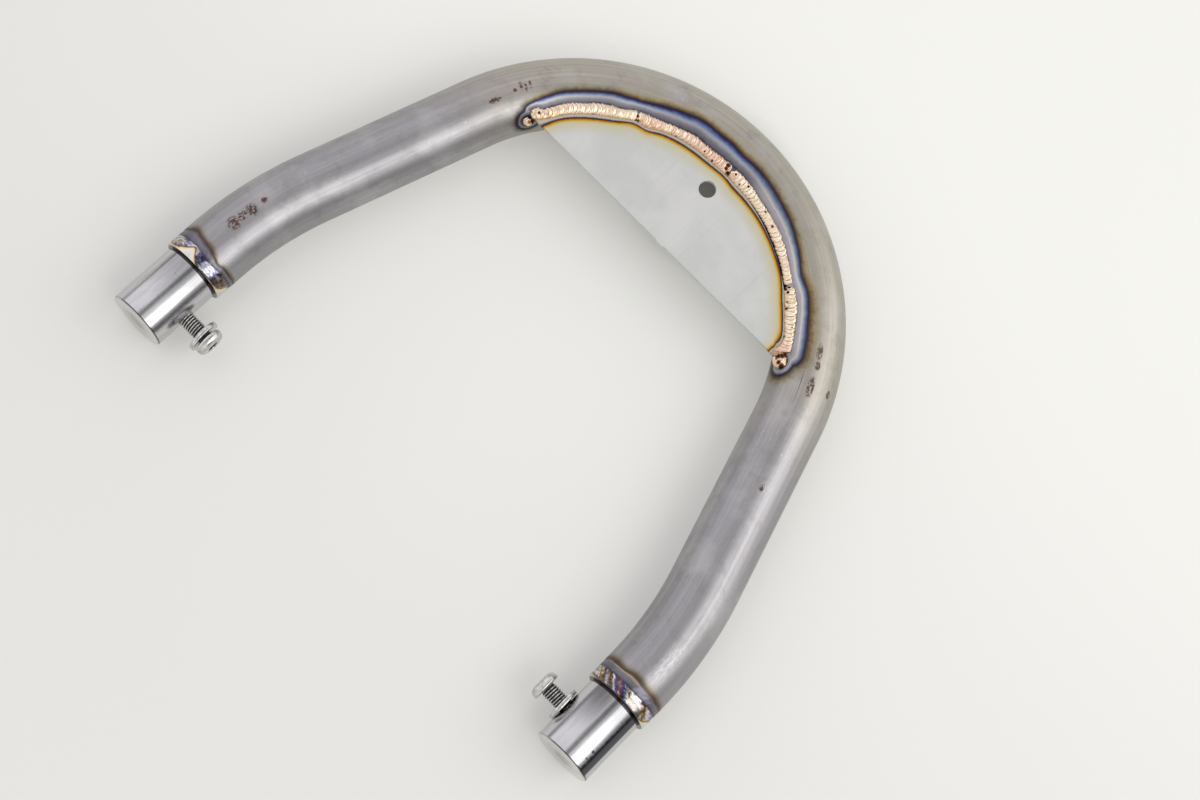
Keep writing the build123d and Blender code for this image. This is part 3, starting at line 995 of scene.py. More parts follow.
def button_head(turn):
    """Stations and radii of the head: underside, dome, then the hexagon socket down to its floor."""
    rise = np.linspace(0, 1, 18)
    dome_r = head_r - (head_r - 2.55) * rise**2.2
    dome_d = 0.72 + (head_high - 0.72) * np.sin(rise * math.pi / 2)
    outline = [(-0.2, 2.75), (0.0, 2.95), (0.0, 4.7), (0.1, 5.0), (0.3, 5.2), (0.55, head_r)]
    outline += list(zip(dome_d, dome_r)) + [(head_high - 0.02, 2.42)]
    outline = np.array(outline)
    sixth = (turn + math.pi / 6) % (math.pi / 3) - math.pi / 6
    hexagon = (socket_flats / 2 / np.cos(sixth))[None, :]
    socket_d = [head_high - 0.22, head_high - 0.6, 1.6, 1.2, 1.2, 0.55]
    socket = hexagon * np.array([1.0, 1.0, 1.0, 1.0, 0.97, 0.0])[:, None]
    station = np.concatenate([outline[:, 0], socket_d])
    return station, np.concatenate([outline[:, 1:] + 0 * turn, socket])


def screw(name, side, standoff):
    """Rings along the axis, with 0 under the head: first the thread, then the head."""
    turn = np.linspace(0, 2 * math.pi, screw_columns, endpoint=False)
    shank, shank_r, root = thread(turn)
    head, head_radii = button_head(turn)
    station, r = np.concatenate([shank, head]), np.concatenate([shank_r, head_radii])
    root = np.concatenate([root, np.zeros(head_radii.shape)])
    x = side * (leg_x - plug_r - standoff - station)[:, None] + 0 * turn
    grid = np.stack([x, screw_y + r * np.cos(turn), tube_r + r * np.sin(turn)], -1)
    return weave(name, grid, sharp=42.0, root=root)


screws = [screw("left_screw_threaded", -1, 10.2), screw("right_screw_threaded", 1, 8.6)]


# %% [markdown]
# The plain washers hang loose on the screws and lean a little, so each shows a crescent of dark gap.
# The frame's own washers give their place. The new ones are a rounded section turned about that
# tilted axis.

# %% Washers
washer_out, washer_in, washer_half = 6.0, 3.2, 0.8
washer_columns = 112


def washer_section():
    """Rounded section as (place along the axis, radius): a rectangle with each corner cut twice."""
    far, near = 0.14, 0.06
    out, bore, half = washer_out, washer_in, washer_half
    section = [(-half, bore + far), (-half + near, bore + near), (-half + far, bore)]
    section += [(half - far, bore), (half - near, bore + near), (half, bore + far)]
    section += [(half, out - far), (half - near, out - near), (half - far, out), (0.0, out)]
    section += [(-half + far, out), (-half + near, out - near), (-half, out - far)]
    return np.array(section)


def washer(name, node, lean):
    """The section turned about the screw's axis, which is then leant about the vertical."""
    low, high = (np.array(corner) * 1000 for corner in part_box(node))
    turn = np.linspace(0, 2 * math.pi, washer_columns, endpoint=False)
    section = washer_section()
    x, r = section[:, :1] + 0 * turn, section[:, 1:]
    y, z = r * np.cos(turn), r * np.sin(turn)
    a = math.radians(lean)
    x, y = x * math.cos(a) - y * math.sin(a), x * math.sin(a) + y * math.cos(a)
    print(node, "in the frame:", low.round(2), high.round(2))
    return weave(name, np.stack([x, y, z], -1) + (low + high) / 2, ring=True, sharp=50.0)


washers = [
    washer("left_washer_plain", "left_washer", 3.0),
    washer("right_washer_plain", "right_washer", 1.0),
]


# %% [markdown]
# ## Finishes
# ### Drawn tube
# Bare drawn steel under its thin mill skin: mid grey, with long faint streaks from the die, fine
# scratches from handling, and small brown specks. Near the braze the steel grew an oxide film. Its
# thickness falls with distance, and each thickness shows its own colour, so a ramp on the stored
# distance gives grey, cream, light blue, deep blue, purple, brown and straw in turn.

# %% Oxide film beside the braze
def heat_tube(finish, past, steel):
    """Colours of the oxide film over the bare steel. Past is the distance past its dark line."""
    share = finish.field("film_share") + (finish.noise(finish.place(), 0.5, 3.0) - 0.5) * 0.18
    blued = [(0.0, (40, 38, 44)), (0.06, (70, 69, 77)), (0.14, (96, 95, 104)), (0.30, (113, 111, 119))]
    blued += [(0.42, (132, 129, 132)), (0.50, (154, 148, 146)), (0.57, (156, 159, 167))]
    blued += [(0.66, (136, 148, 169)), (0.77, (98, 112, 148)), (0.87, (64, 72, 114))]
    blued += [(0.94, (46, 44, 84)), (1.0, (52, 44, 62))]
    frosted = [(0.0, (84, 78, 80)), (0.08, (138, 134, 138)), (0.26, (154, 152, 160))]
    frosted += [(0.38, (156, 152, 156)), (0.47, (188, 178, 164)), (0.55, (174, 172, 168))]
    frosted += [(0.63, (148, 156, 164)), (0.74, (116, 130, 150)), (0.86, (84, 94, 124))]
    frosted += [(1.0, (58, 54, 70))]
    fringe = [(0.0, (50, 44, 64)), (0.25, (62, 50, 54)), (0.6, (84, 70, 54)), (1.1, (116, 100, 70))]
    fringe += [(1.8, (146, 132, 98)), (2.8, (160, 152, 126)), (4.0, (160, 155, 142))]
    glossy, matt = (finish.ramp(share, stops, steel_light) for stops in (blued, frosted))
    outside = finish.ramp(past, fringe, steel_light)
    film = finish.mix(finish.field("film_frost"), glossy, matt)
    film = finish.mix(finish.band(past, -0.1, 0.1), film, outside)
    film = finish.mix(finish.field("film_dull"), film, finish.faded(film, 0.3, 0.55))
    return finish.mix(finish.band(past, 1.4, 4.2), film, steel)


# %% [markdown]
# At the feet the order of colours is the same, but the whole ring of steel was hot, so the bands run
# round the tube. On the fused steel itself the film is thickest. It was stirred as it froze, which a
# noise that is itself distorted imitates.

# %% Films at the feet
straw_steel = (0.76, 0.73, 0.65)


def heat_foot(finish, vector, x, steel):
    """Film on a foot of the tube beside its melt: grey, a brown line and tan, over the bare steel.

    The share is the distance past the melt's edge, over the width of the heated zone there."""
    reach = finish.field("melt_reach") + (finish.noise(vector, 0.16, 3.0) - 0.5) * 2.0
    share = reach / finish.field("heat_width")
    stops = [(0.0, (74, 74, 84)), (0.15, (98, 98, 106)), (0.55, (114, 112, 118)), (0.72, (98, 93, 95))]
    stops += [(0.86, (74, 67, 64)), (1.0, (86, 76, 62)), (1.2, (114, 104, 86)), (1.5, (134, 127, 113))]
    gold = finish.band(abs(share - 0.66), 0.09, 0.02) * finish.band(x, -20.0, 20.0)
    gold = gold * finish.band(abs(x - leg_x + 4.0), 8.0, 6.0) * 0.75
    heated = finish.ramp(share, stops, steel_light)
    heated = finish.mix(gold, heated, seen(168, 152, 112, steel_light))
    return finish.mix(finish.band(share, 1.05, 1.7), heated, steel)


def melt_skin(finish, place):
    """Film on the fused steel, partly painted glints: the tone stored for its angle, stirred by noise.
    """
    tone = finish.field("melt_tone") + (finish.stretched(place, (0.3, 0.55, 0.3), 3.0, 0.6, 2.2) - 0.5)
    # The cream and lilac stops double as painted glints.
    stops = [(0.0, (54, 42, 40)), (0.10, (112, 90, 66)), (0.20, (196, 172, 128))]
    stops += [(0.30, (228, 220, 206)), (0.42, (206, 205, 216)), (0.52, (150, 154, 180))]
    stops += [(0.62, (92, 98, 142)), (0.72, (52, 54, 104)), (0.81, (84, 58, 88)), (0.87, (134, 76, 68))]
    stops += [(0.94, (204, 140, 84)), (1.0, (220, 186, 112))]
    ash = finish.band(finish.stretched(place, (0.2, 0.7, 0.2), 3.0, 0.6, 1.0), 0.42, 0.6)
    return finish.mix(ash * 0.65, finish.ramp(tone, stops, 1.0), (0.16, 0.155, 0.17))


def collar_film(finish, reach, fused, steel):
    """Thin film on the collar past the melt: a dark line, gold, straw, then the bare steel."""
    stops = [(-0.15, (0.08, 0.06, 0.07)), (0.1, (0.22, 0.14, 0.07)), (0.4, (0.60, 0.44, 0.20))]
    stops += [(0.85, (0.80, 0.71, 0.50)), (2.4, straw_steel)]
    film = finish.mix(finish.band(reach, 1.6, 3.4), finish.ramp(reach, stops), steel)
    return finish.mix(finish.band(reach, -0.45, -0.1), fused, film)


# %% [markdown]
# The steel away from the heat is mostly marks of handling. All of them are masks on the stored place
# along the straight tube: noise drawn out along it for streaks and scratches, and noise above a level
# for the flecks of brown. The flecks lie in a few soft ellipses and spell nothing.

# %% Marks on the drawn steel
# Clusters of flecks: mm along from the crown's top, degrees round, half length and half width.
clusters = [(-199.2, 3.5, 2.7, 2.9), (-195.5, 5.0, 2.2, 1.9), (-191.6, 3.5, 2.3, 2.8)]
clusters += [(-186.3, 6.0, 1.5, 1.3), (-98.0, -7.0, 3.0, 1.2), (-87.5, 5.0, 0.7, 2.2)]
clusters += [(-85.9, -1.0, 0.7, 1.9), (-84.1, 3.0, 0.6, 2.0), (79.5, 10.0, 3.4, 1.4)]
clusters += [(84.5, 11.0, 1.8, 1.2), (92.5, 9.0, 4.2, 1.5), (132.0, 8.0, 1.6, 1.0)]
clusters += [(-90.0, -1.0, 0.9, 0.8), (92.0, 45.0, 1.6, 1.1)]


def rust_flecks(finish, straight):
    """Mask of irregular flecks: noise above a level, kept inside the clusters."""
    mask = None
    for s, turn, long, wide in clusters:
        up, out = tube_r * math.cos(math.radians(turn)), tube_r * math.sin(math.radians(turn))
        shaped = finish.scaled(straight, (1 / long, 1 / wide, 1 / wide))
        gap = finish.distance(shaped, (s / long, up / wide, out / wide))
        near = finish.band(gap, 1.1, 0.6)
        mask = near if mask is None else mask.atleast(near)
    return mask * finish.band(finish.stretched(straight, (1.1, 1.4, 1.4), 4.0, 0.75), 0.44, 0.5)


def scratches(finish, straight):
    """Mask of fine scratches: thin lines along the tube, broken up, in patches."""
    line = finish.stretched(straight, (0.16, 4.2, 1.6), 0.0)
    broken = finish.stretched(straight, (1.9, 0.22, 0.22), 0.0)
    patch = finish.band(finish.noise(straight, 0.11, 2.0), 0.52, 0.66)
    return finish.band(abs(line - 0.5), 0.012, 0.002) * finish.band(broken, 0.45, 0.6) * patch


def long_scratch(finish, s, up, out):
    """Mask of the one long scratch down the top of the right leg."""
    line = finish.band(abs(out + 0.35 + s * 0.0165), 0.2, 0.07) * finish.band(s, 24.0, 34.0)
    return line * finish.band(s, 104.0, 90.0) * finish.band(up, 0.0, 4.0)


def worn_patch(finish, straight, s, up, out):
    """Mask of a rubbed patch on the outside of the right foot."""
    patch = finish.band(s, 190.0, 194.0) * finish.band(s, 210.0, 206.0) * finish.band(out, 0.5, 2.0)
    patch = patch * finish.band(out, 8.0, 5.0) * finish.band(up, 0.0, 2.0)
    return patch * finish.band(finish.stretched(straight, (0.5, 1.6, 1.6), 3.0, 0.7), 0.46, 0.62)


print("clusters of flecks:", len(clusters))


# %% [markdown]
# Now the whole finish can be put together: the grey, its marks, then the films over both. The noises
# for streaks and hairs are drawn out along the tube, as the die drew the steel.

# %% Drawn tube finish
def dress(pieces, finish):
    """Gives pieces one material, in place of any that they have."""
    for piece in pieces:
        piece.data.materials.clear()
        piece.data.materials.append(finish.material)
    print(finish.material.name, "has", len(finish.tree.nodes), "nodes; pieces:", len(pieces))


def tube_finish():
    """Mill skin, cool on the legs and warmer on the crown, under its marks and films."""
    finish = Finish("drawn_tube", Specular_IOR_Level=0.4)
    straight = finish.field("straight", "Vector")
    s, up, out = finish.axes(straight)
    x, y = finish.axes(finish.place())[:2]
    streaks = finish.stretched(straight, (0.012, 0.9, 0.9), 4.0, 0.6)
    hairs = finish.stretched(straight, (0.04, 5.5, 5.5), 2.0, 0.6)
    cloud = finish.noise(straight, 0.05, 4.0, 0.6)
    stain = finish.noise(straight, 0.16, 4.0, 0.65)
    grain = finish.noise(straight, 2.6, 3.0, 0.7)
    flecks = rust_flecks(finish, straight)
    coats = [
        (finish.band(y, 10.0, 62.0), (160, 155, 144)),
        (finish.band(streaks, 0.36, 0.66) * 0.28, (116, 112, 112)),
        (finish.band(cloud, 0.48, 0.68) * 0.4, (170, 168, 168)),
        (finish.band(stain, 0.5, 0.7) * 0.35, (122, 118, 116)),
        (finish.band(hairs, 0.62, 0.74) * 0.3, (186, 186, 188)),
        (finish.band(grain, 0.5, 0.8) * 0.22, (104, 100, 98)),
        (scratches(finish, straight) * 0.55, (212, 212, 214)),
        (long_scratch(finish, s, up, out) * 0.85, (84, 80, 78)),
        (flecks * 0.97, (72, 46, 36)),
    ]
    steel = finish.layers(bare_steel, coats, steel_light)
    ragged = finish.noise(straight, 0.5, 4.0, 0.7) - 0.5
    past = finish.field("film_past")
    past = past + ragged * finish.band(past, -0.2, 2.5, 0.3, 2.6)
    colour = heat_foot(finish, straight, x, heat_tube(finish, past, steel))
    worn = worn_patch(finish, straight, s, up, out) * 0.16
    colour = finish.mix(worn, colour, seen(220, 219, 218, steel_light))
    rough = 0.43 + (streaks - 0.5) * 0.24 + (grain - 0.5) * 0.14 + flecks * 0.3
    rough = rough - finish.band(past, 1.5, -0.5) * 0.05
    height = finish.bump(streaks, 0.016)
    height = finish.bump(hairs, 0.012, height)
    height = finish.bump(grain, 0.018, height)
    metal = 1 - flecks * 0.75
    finish.wear(Base_Color=colour, Roughness=rough.clamp(), Metallic=metal, Normal=height)
    return finish


dress([tube], tube_finish())


# %% [markdown]
# ### Sheet plate
# Cold-rolled sheet that was blasted clean: pale and dull. The same oxide colours lie along the braze,
# but thinner and closer together, because the plate is thin and held less heat. The distance from
# the crown's centre comes from Object coordinates, and the film's place from the stored line.

# %% Sheet plate finish
def plate_film(finish, past, straw):
    """Film on the plate: colours by share of the way to the dark line, then brown to straw."""
    share = 1 + past / finish.field("film_width")
    glassy = [(0.0, (190, 166, 138)), (0.25, (202, 186, 156)), (0.5, (192, 192, 172))]
    glassy += [(0.68, (148, 160, 168)), (0.82, (94, 102, 132)), (0.92, (60, 48, 76))]
    glassy += [(1.0, (62, 32, 44))]
    toasted = [(0.0, (58, 28, 44)), (0.12, (92, 36, 20)), (0.32, (136, 78, 0)), (0.6, (172, 124, 0))]
    toasted += [(0.95, (190, 158, 52)), (1.5, (197, 180, 122)), (2.6, (195, 188, 158))]
    inside = finish.ramp(share, glassy, plate_light)
    outside = finish.ramp(past, toasted, plate_light)
    film = finish.mix(finish.band(past, -0.05, 0.05), inside, outside)
    return finish.mix(finish.band(past, 1.0, 2.6), film, straw)


def plate_finish():
    """Pale sheet with a faint roll direction, straw towards the braze, then the film."""
    finish = Finish("sheet_plate")
    place = finish.place()
    x, y = finish.axes(place)[:2]
    flat = finish.join(x, y, 0.0)
    wander = (finish.noise(flat, 0.9, 2.0) - 0.5) * 0.3
    past = finish.field("film_line") - finish.distance(flat, (0.0, crown_y, 0.0)) + wander
    mottle = finish.noise(place, 0.06, 4.0, 0.6)
    grain = finish.noise(place, 3.2, 3.0, 0.7)
    roll = finish.stretched(place, (0.5, 0.02, 0.5), 3.0, 0.6)
    coats = [
        (finish.band(mottle, 0.35, 0.68), (203, 203, 200)),
        (finish.band(roll, 0.5, 0.72) * 0.25, (182, 182, 181)),
        (finish.band(grain, 0.62, 0.82) * 0.22, (164, 163, 158)),
        (finish.band(past, 7.0, 0.8) * 0.8, (191, 183, 145)),
    ]
    straw = finish.layers(seen(194, 195, 192, plate_light), coats, plate_light)
    colour = plate_film(finish, past, straw)
    rough = 0.5 + (mottle - 0.5) * 0.16 + (grain - 0.5) * 0.12
    rough = rough - finish.band(past, 0.6, -0.4) * 0.16
    metal = finish.band(past, 1.4, -0.2, 0.55, 0.9)
    height = finish.bump(roll, 0.01, finish.bump(grain, 0.02))
    finish.wear(Base_Color=colour, Roughness=rough.clamp(), Metallic=metal, Normal=height)
    return finish


dress([plate], plate_finish())


# %% [markdown]
# ### Bronze braze
# Fresh silicon bronze is a bright peach metal. Its dips are darker and redder, partly as painted shade
# in the creases between coins and partly as redder bronze, and painted shade darkens the bead towards
# both toes, where it meets the steel. Soot and flux glass sit in the craters and pinholes, and some
# coins are pinker than their neighbours.

# %% Braze finish
def braze_finish():
    """Peach bronze under tints, dips partly painted shade, painted shade at the toes, red and scorched
    places.
    """
    finish = Finish("silicon_bronze", Metallic=1.0)
    place = finish.place()
    dip, tint, scorch, toe, lane, blush, ember = (
        finish.field(name) for name in ("dip", "tint", "scorch", "toward_toe", "lane", "blush", "ember")
    )
    grain = finish.noise(place, 2.2, 4.0, 0.65)
    patch = finish.noise(place, 0.22, 3.0, 0.6)
    low = finish.mix(finish.band(patch, 0.4, 0.6), (0.42, 0.27, 0.10), (0.46, 0.22, 0.12))
    embers = ember * finish.band(finish.noise(place, 0.9, 3.0, 0.6), 0.4, 0.6)
    spots = finish.band(finish.noise(place, 1.3, 2.0, 0.5), 0.68, 0.72)
    brown = (0.22, 0.10, 0.04)
    coats = [
        (finish.band(patch, 0.4, 0.62), (0.89, 0.71, 0.53)),
        (tint * 0.7, (0.97, 0.88, 0.70)),
        (blush * 0.7, (0.84, 0.55, 0.43)),
        # Partly painted shade: darker dips, as shade in the creases between coins.
        (finish.band(dip, 0.38, 0.95) * 0.85, low),
        (embers * 0.75, (0.55, 0.25, 0.09)),
        (finish.band(grain, 0.6, 0.78) * 0.3, (0.60, 0.36, 0.18)),
        # Painted shade towards both toes, where the bead meets the steel.
        (toe * 0.45, (0.36, 0.20, 0.11)),
        (finish.band(lane, 0.55, 1.0) * 0.28, (0.58, 0.40, 0.24)),
        (spots * finish.band(lane, 0.35, 0.95) * 0.8, brown),
        (finish.band(scorch, 0.1, 0.5), brown),
        (finish.band(scorch, 0.45, 0.95), (0.03, 0.025, 0.022)),
    ]
    colour = finish.layers((0.92, 0.78, 0.56), coats)
    rough = (0.31 + dip * 0.1 + (grain - 0.5) * 0.16 + scorch * 0.3).clamp()
    finish.wear(Base_Color=colour, Roughness=rough, Normal=finish.bump(grain, 0.03))
    return finish


dress(beads + tacks, braze_finish())


# %% [markdown]
# ### Turned steel
# The plugs and their collars are bright turned steel. A lathe tool leaves fine rings round the axis,
# so the bump is noise that is squeezed along the axis and hardly changes round it. Handling and heat
# left a dull haze, nicks and a few pits, and a ragged dark band runs along the right plug's outside.
# Each of these is a mask with a colour.

# %% Coats on the plugs
soot = (0.05, 0.05, 0.06)


def barrel_coats(finish, place, x, y, away, up, nick):
    """Dull haze under the shoulder, nicks, and a ragged dark band along the right plug's outside."""
    sooty = finish.band(away, -0.5, -3.0) * finish.band(x, -1.0, 1.0)
    streak = finish.noise(finish.join(away * 0.9, y * 0.05, up * 0.9), 1.0, 2.0, 0.5)
    haze = finish.band(y, plug_end_y + 6.0, shoulder_y - 2.0)
    haze = haze * finish.band(y, shoulder_y + 0.2, shoulder_y - 0.1)
    haze = haze * (0.3 + sooty * 0.4 + streak * 0.35) * finish.band(abs(away), 8.6, 6.6)
    # A ragged near-black band along the right plug's outside, in the colour itself.
    ragged = (finish.stretched(place, (0.8, 0.5, 0.8), 3.0, 0.7) - 0.5) * 1.6
    stain = finish.band(away + ragged, 6.7, 7.4) * finish.band(away, 10.0, 9.5)
    stain = stain * finish.band(x, 0.0, 1.0) * finish.band(up, 2.0, 3.0)
    dull, inky = (0.13, 0.125, 0.13), (0.035, 0.038, 0.05)
    return [(haze.clamp(), dull), (nick * 0.85, soot), (stain * 0.9, inky)]


def face_coats(finish, place, x, y, away, radius):
    """Painted shade on the end chamfer, less on its -X side, and the face: browner and scored inwards.
    """
    # Painted shade: the end's chamfer is coloured dark, less so on its -X side.
    rim = finish.band(abs(y - plug_end_y - 0.4), 0.3, 0.12) * finish.band(radius, 10.4, 10.8)
    rim = rim * finish.band(away * (x / abs(x)), -9.0, -5.0, 0.3, 1.0)
    face = finish.band(y, plug_end_y + 0.2, plug_end_y + 0.05)
    scored = finish.band(finish.stretched(place, (0.35, 1.0, 2.2), 2.0, 0.6), 0.5, 0.6)
    return [
        (rim * 0.85, (0.04, 0.04, 0.045)),
        (face * 0.7, (0.70, 0.68, 0.62)),
        (face * finish.band(radius, 6.0, 1.5) * 0.75, (0.26, 0.235, 0.19)),
        (face * scored * finish.band(radius, 9.0, 5.0) * 0.6, (0.22, 0.20, 0.17)),
    ]


def shoulder_coats(finish, x, y, away, up):
    """A row of pits along the right plug's top, and painted shade in the groove under the shoulder."""
    pits = finish.band(finish.cells(finish.join(y * 0.45, 0.0, 0.5), 1.0), 0.3, 0.14)
    pits = pits * finish.band(x, 0.0, 1.0) * finish.band(abs(away - 6.3), 0.6, 0.3)
    pits = pits * finish.band(up, 6.0, 8.0) * finish.band(y, shoulder_y - 2.0, shoulder_y - 7.0)
    # Painted shade: the groove under the shoulder is coloured almost black.
    groove = finish.band(y, shoulder_y - 1.1, shoulder_y - 0.9)
    groove = groove * finish.band(y, shoulder_y + 0.12, shoulder_y)
    return [(pits * 0.85, soot), (groove * 0.93, (0.02, 0.018, 0.016))]


# %% [markdown]
# The finish lays those coats over bright steel in turn. The heat's film is only on the collar, so it
# comes last: a dark line at the melt's edge, then gold and straw that thin out to bare steel.

# %% Turned steel finish
def turned_finish():
    """Bright steel with the lathe's rings as bump, under its coats, and the film on the collar."""
    finish = Finish("turned_steel", Metallic=1.0)
    place = finish.place()
    x, y, z = finish.axes(place)
    away = abs(x) - leg_x
    up = z - tube_r
    radius = (away * away + up * up) ** 0.5
    lathe = finish.noise(finish.join(y * 5.0, radius * 5.0, 0.0), 1.0, 3.0, 0.7)
    feed = finish.noise(finish.join(y * 1.3, radius * 1.3, 0.5), 1.0, 1.0)
    smear = finish.stretched(place, (0.6, 0.09, 0.6), 3.0, 0.6)
    nick = finish.band(finish.cells(finish.scaled(place, (1.0, 0.8, 1.0)), 0.9), 0.16, 0.1)
    nick = nick * finish.band(finish.noise(place, 0.16, 1.0), 0.6, 0.64)
    coats = [(finish.band(smear, 0.4, 0.66), (0.53, 0.525, 0.54))]
    coats += barrel_coats(finish, place, x, y, away, up, nick)
    coats += face_coats(finish, place, x, y, away, radius)
    coats += shoulder_coats(finish, x, y, away, up)
    steel = finish.layers((0.60, 0.595, 0.61), coats)
    reach = finish.field("plug_reach") + (finish.noise(place, 0.7, 2.0) - 0.5) * 0.7
    pale = finish.mix(0.5, steel, straw_steel)
    filmed = collar_film(finish, reach, melt_skin(finish, place), pale)
    colour = finish.mix(finish.band(y, shoulder_y + 0.05, shoulder_y + 0.2), steel, filmed)
    rough = (0.2 + (smear - 0.5) * 0.1 + (feed - 0.5) * 0.05 + nick * 0.3).clamp()
    finish.wear(Base_Color=colour, Roughness=rough, Normal=finish.bump(lathe, 0.003))
    return finish


dress(plugs, turned_finish())


# %% [markdown]
# ### Melted steel
# Where the steel was liquid it froze as a bright skin, and the film on it runs through silver, blue,
# purple and gold in swirls. Its cream and lilac stretches are partly painted glints. A noise that is
# itself distorted gives the swirls, and a ramp the colours. Towards the plug the collar's own thin
# film carries on, so that no seam shows between the two pieces.

# %% Melted steel finish
def melt_finish():
    """The melt's skin, with the collar's film on one side and the tube's on the other."""
    finish = Finish("fused_steel", Metallic=1.0)
    place = finish.place()
    x = finish.axes(place)[0]
    plug = finish.field("plug_reach") + (finish.noise(place, 0.7, 2.0) - 0.5) * 0.7
    tube_side = finish.field("melt_reach") + (finish.noise(place, 0.6, 2.0) - 0.5) * 0.5
    quiet = finish.band(tube_side, -0.25, 0.1)
    rim = finish.band(abs(tube_side + 0.1), 0.35, 0.1)
    heated = heat_foot(finish, place, x, bare_steel)
    skin = collar_film(finish, plug, melt_skin(finish, place), straw_steel)
    coats = [(quiet, heated), (rim * 0.7, seen(62, 56, 66, steel_light))]
    ripple = finish.stretched(place, (0.22, 0.8, 0.22), 1.5, 0.5, 0.8)
    rough = (0.21 + quiet * 0.2 + (ripple - 0.5) * 0.1).clamp()
    height = finish.bump(ripple * finish.band(plug, 0.2, -0.6) * (1 - quiet), 0.10)
    finish.wear(Base_Color=finish.layers(skin, coats), Roughness=rough, Normal=height)
    return finish


dress(rings, melt_finish())


# %% [markdown]
# ### Stainless screws and washers
# Small bought-in parts with a rolled, slightly dull shine. A faint noise in the roughness and a fine
# bump keep the dome's highlight from looking like chrome.

# %% Stainless finish
def stainless_finish():
    """Dull bright steel, with painted shade: almost black in the roots of the thread."""
    finish = Finish("stainless_hardware", Metallic=1.0)
    place = finish.place()
    cloud = finish.noise(place, 0.7, 3.0, 0.6)
    grain = finish.noise(place, 6.0, 3.0, 0.7)
    root = finish.field("root")
    coats = [
        (finish.band(cloud, 0.38, 0.66), (0.46, 0.45, 0.44)),
        (finish.band(grain, 0.6, 0.8) * 0.3, (0.34, 0.33, 0.32)),
        # Painted shade: the thread's roots are coloured almost black.
        (root * 0.95, (0.02, 0.019, 0.017)),
    ]
    colour = finish.layers((0.66, 0.65, 0.63), coats)
    rough = (0.23 + (cloud - 0.5) * 0.14 + (grain - 0.5) * 0.08 + root * 0.2).clamp()
    finish.wear(Base_Color=colour, Roughness=rough, Normal=finish.bump(grain, 0.012))
    return finish


dress(screws + washers, stainless_finish())


# %% [markdown]
# ## On the frame
# Each piece rides on the one body that this object has, and the CAD node that it stands for is
# hidden. Beside each piece the list gives that node and a finish slot of the record.

# %% Ride and replace
stands_for = [
    (tube, "hoop_tube", "drawn_tube"),
    (plate, "mounting_plate", "plate_steel"),
    (tacks[0], "left_braze_tack", "braze_bronze"),
    (tacks[1], "right_braze_tack", "braze_bronze"),
    (plugs[0], "left_slug", "turned_steel"),
    (plugs[1], "right_slug", "turned_steel"),
    (rings[0], "left_fusion_weld", "fused_steel"),
    (rings[1], "right_fusion_weld", "fused_steel"),
    (screws[0], "left_screw", "stainless_steel"),
    (screws[1], "right_screw", "stainless_steel"),
    (washers[0], "left_washer", "stainless_steel"),
    (washers[1], "right_washer", "stainless_steel"),
]
for number, bead in enumerate(beads, 1):
    stands_for.append((bead, f"braze_pass_{number}", "braze_bronze"))
for piece, node, slot in stands_for:
    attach(piece, "root")
    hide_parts(node)
print("pieces:", len(stands_for))

# %% [markdown]
# ## The studio
# The loop lies on a pale table under an evenly bright ceiling. Bright metal shows what stands round
# it, so the few things that break that evenness draw the bands on the plugs: a long white strip light
# on one side, a dark slot overhead where the camera is, and a dark stretch of wall low on the right.
# The paper glows a little, which keeps shadows pale, but not under the plate, where they are deep.
# Its colour is painted darker towards the near side and both sides, as a painted falloff of light.

# %% Table
table_half = 3.0
sides = (-table_half, table_half)
floor_mesh = bpy.data.meshes.new("table")
corners = [(x, y, 0) for y in sides for x in sides]
floor_mesh.from_pydata(corners, [], [(0, 1, 3, 2)])
table = bpy.data.objects.new("table", floor_mesh)
bpy.context.scene.collection.objects.link(table)

paper = Finish("table_paper", Roughness=0.85, Specular_IOR_Level=0.1, Emission_Strength=0.36)
x, y = paper.axes(paper.place())[:2]
# Painted light: the paper darkens towards the near side and both sides, as the light falls off.
away = paper.band(y - abs(x) * 0.3, -190.0, 150.0)
sheet = paper.mix(away, (0.54, 0.535, 0.515), (0.615, 0.615, 0.585))
under_plate = paper.band(paper.distance(paper.place(), (-2.5, 80.0, 0.0)), 36.0, 16.0)
glow = paper.mix(under_plate, sheet, (0.0, 0.0, 0.0))
paper.wear(Base_Color=sheet, Emission_Color=glow)
dress([table], paper)

# %% [markdown]
# The strip is an area light. Its power is worked out from how bright it should look in a reflection,
# because that is what the photograph shows of it.

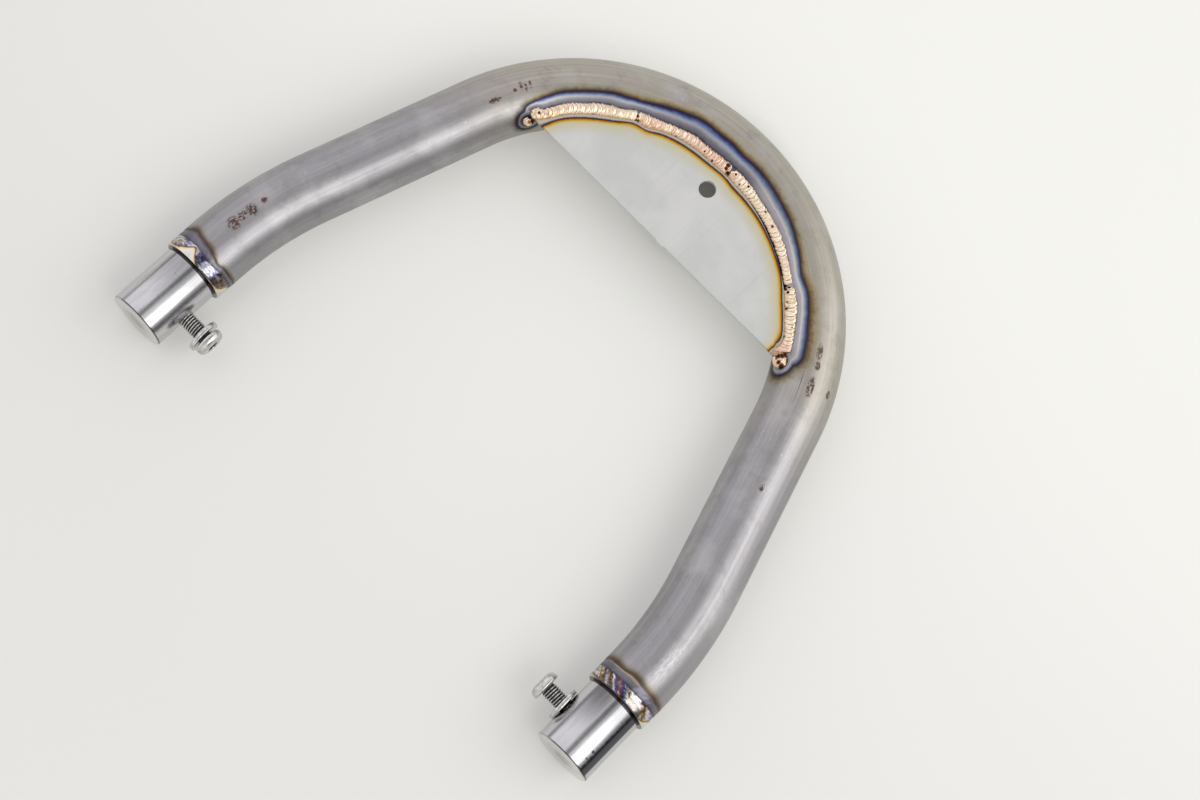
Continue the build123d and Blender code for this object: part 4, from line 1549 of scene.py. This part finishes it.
# %% Strip light
def soft_light(name, place, target, wide, long, radiance):
    """A rectangular soft light at a place in metres, facing its target, its length along the legs.

    The power of a flat lamp is pi times its area times its radiance."""
    data = bpy.data.lights.new(name, "AREA")
    data.shape = "RECTANGLE"
    data.size, data.size_y = wide, long
    data.energy = math.pi * wide * long * radiance
    lamp = bpy.data.objects.new(name, data)
    back = (Vector(place) - Vector(target)).normalized()
    across = Vector((0.0, 1.0, 0.0)).cross(back).normalized()
    lamp.matrix_world = Matrix((across, back.cross(across), back)).transposed().to_4x4()
    lamp.location = place
    bpy.context.scene.collection.objects.link(lamp)
    print(name, "light of", round(data.energy, 2), "W")


soft_light("strip", (1.187, 0.0, 1.273), (0.0, 0.0, 0.0), 1.05, 1.9, 1.54)

# %% [markdown]
# The rest of the room is the world's own colour, by direction: the tilt from straight up, to the right
# in degrees, and how far along the legs. Only reflections see it. The camera sees an even pale grey.

# %% Room
room = bpy.data.worlds.new("room")
room.use_nodes = True
bpy.context.scene.world = room
sky = Nodes(room.node_tree)
x, y, z = sky.axes(sky.node("ShaderNodeTexCoord", out="Generated"))
tilt = x.math("ARCTAN2", x, z) * (180 / math.pi)
camera_slot = sky.band(abs(tilt - 3.0), 10.0, 6.0)
low_right = sky.band(tilt, 63.0, 67.0) * sky.band(abs(y), 0.45, 0.3)
low_left = sky.band(tilt, -79.0, -83.0) * sky.band(abs(y - 0.02), 0.3, 0.15)
window = sky.band(x * 0.64 + y * 0.64 + z * 0.42, 0.80, 0.94)
coats = [
    (sky.band(x, -0.5, 0.4), (0.93, 0.925, 0.91)),
    (camera_slot, (0.24, 0.24, 0.25)),
    (low_right, (0.06, 0.06, 0.066)),
    (low_left, (0.3, 0.3, 0.3)),
    (window, (1.65, 1.63, 1.6)),
    (sky.node("ShaderNodeLightPath", out="Is Camera Ray"), (0.80, 0.79, 0.765)),
]
panel = sky.layers((1.03, 1.015, 1.05), coats)
light = sky.node("ShaderNodeBackground", None, {"Color": panel})
end = room.node_tree.nodes.new("ShaderNodeOutputWorld")
room.node_tree.links.new(light.socket, end.inputs["Surface"])
bpy.context.scene.view_settings.view_transform = "Standard"
print("room of", len(coats), "tones")
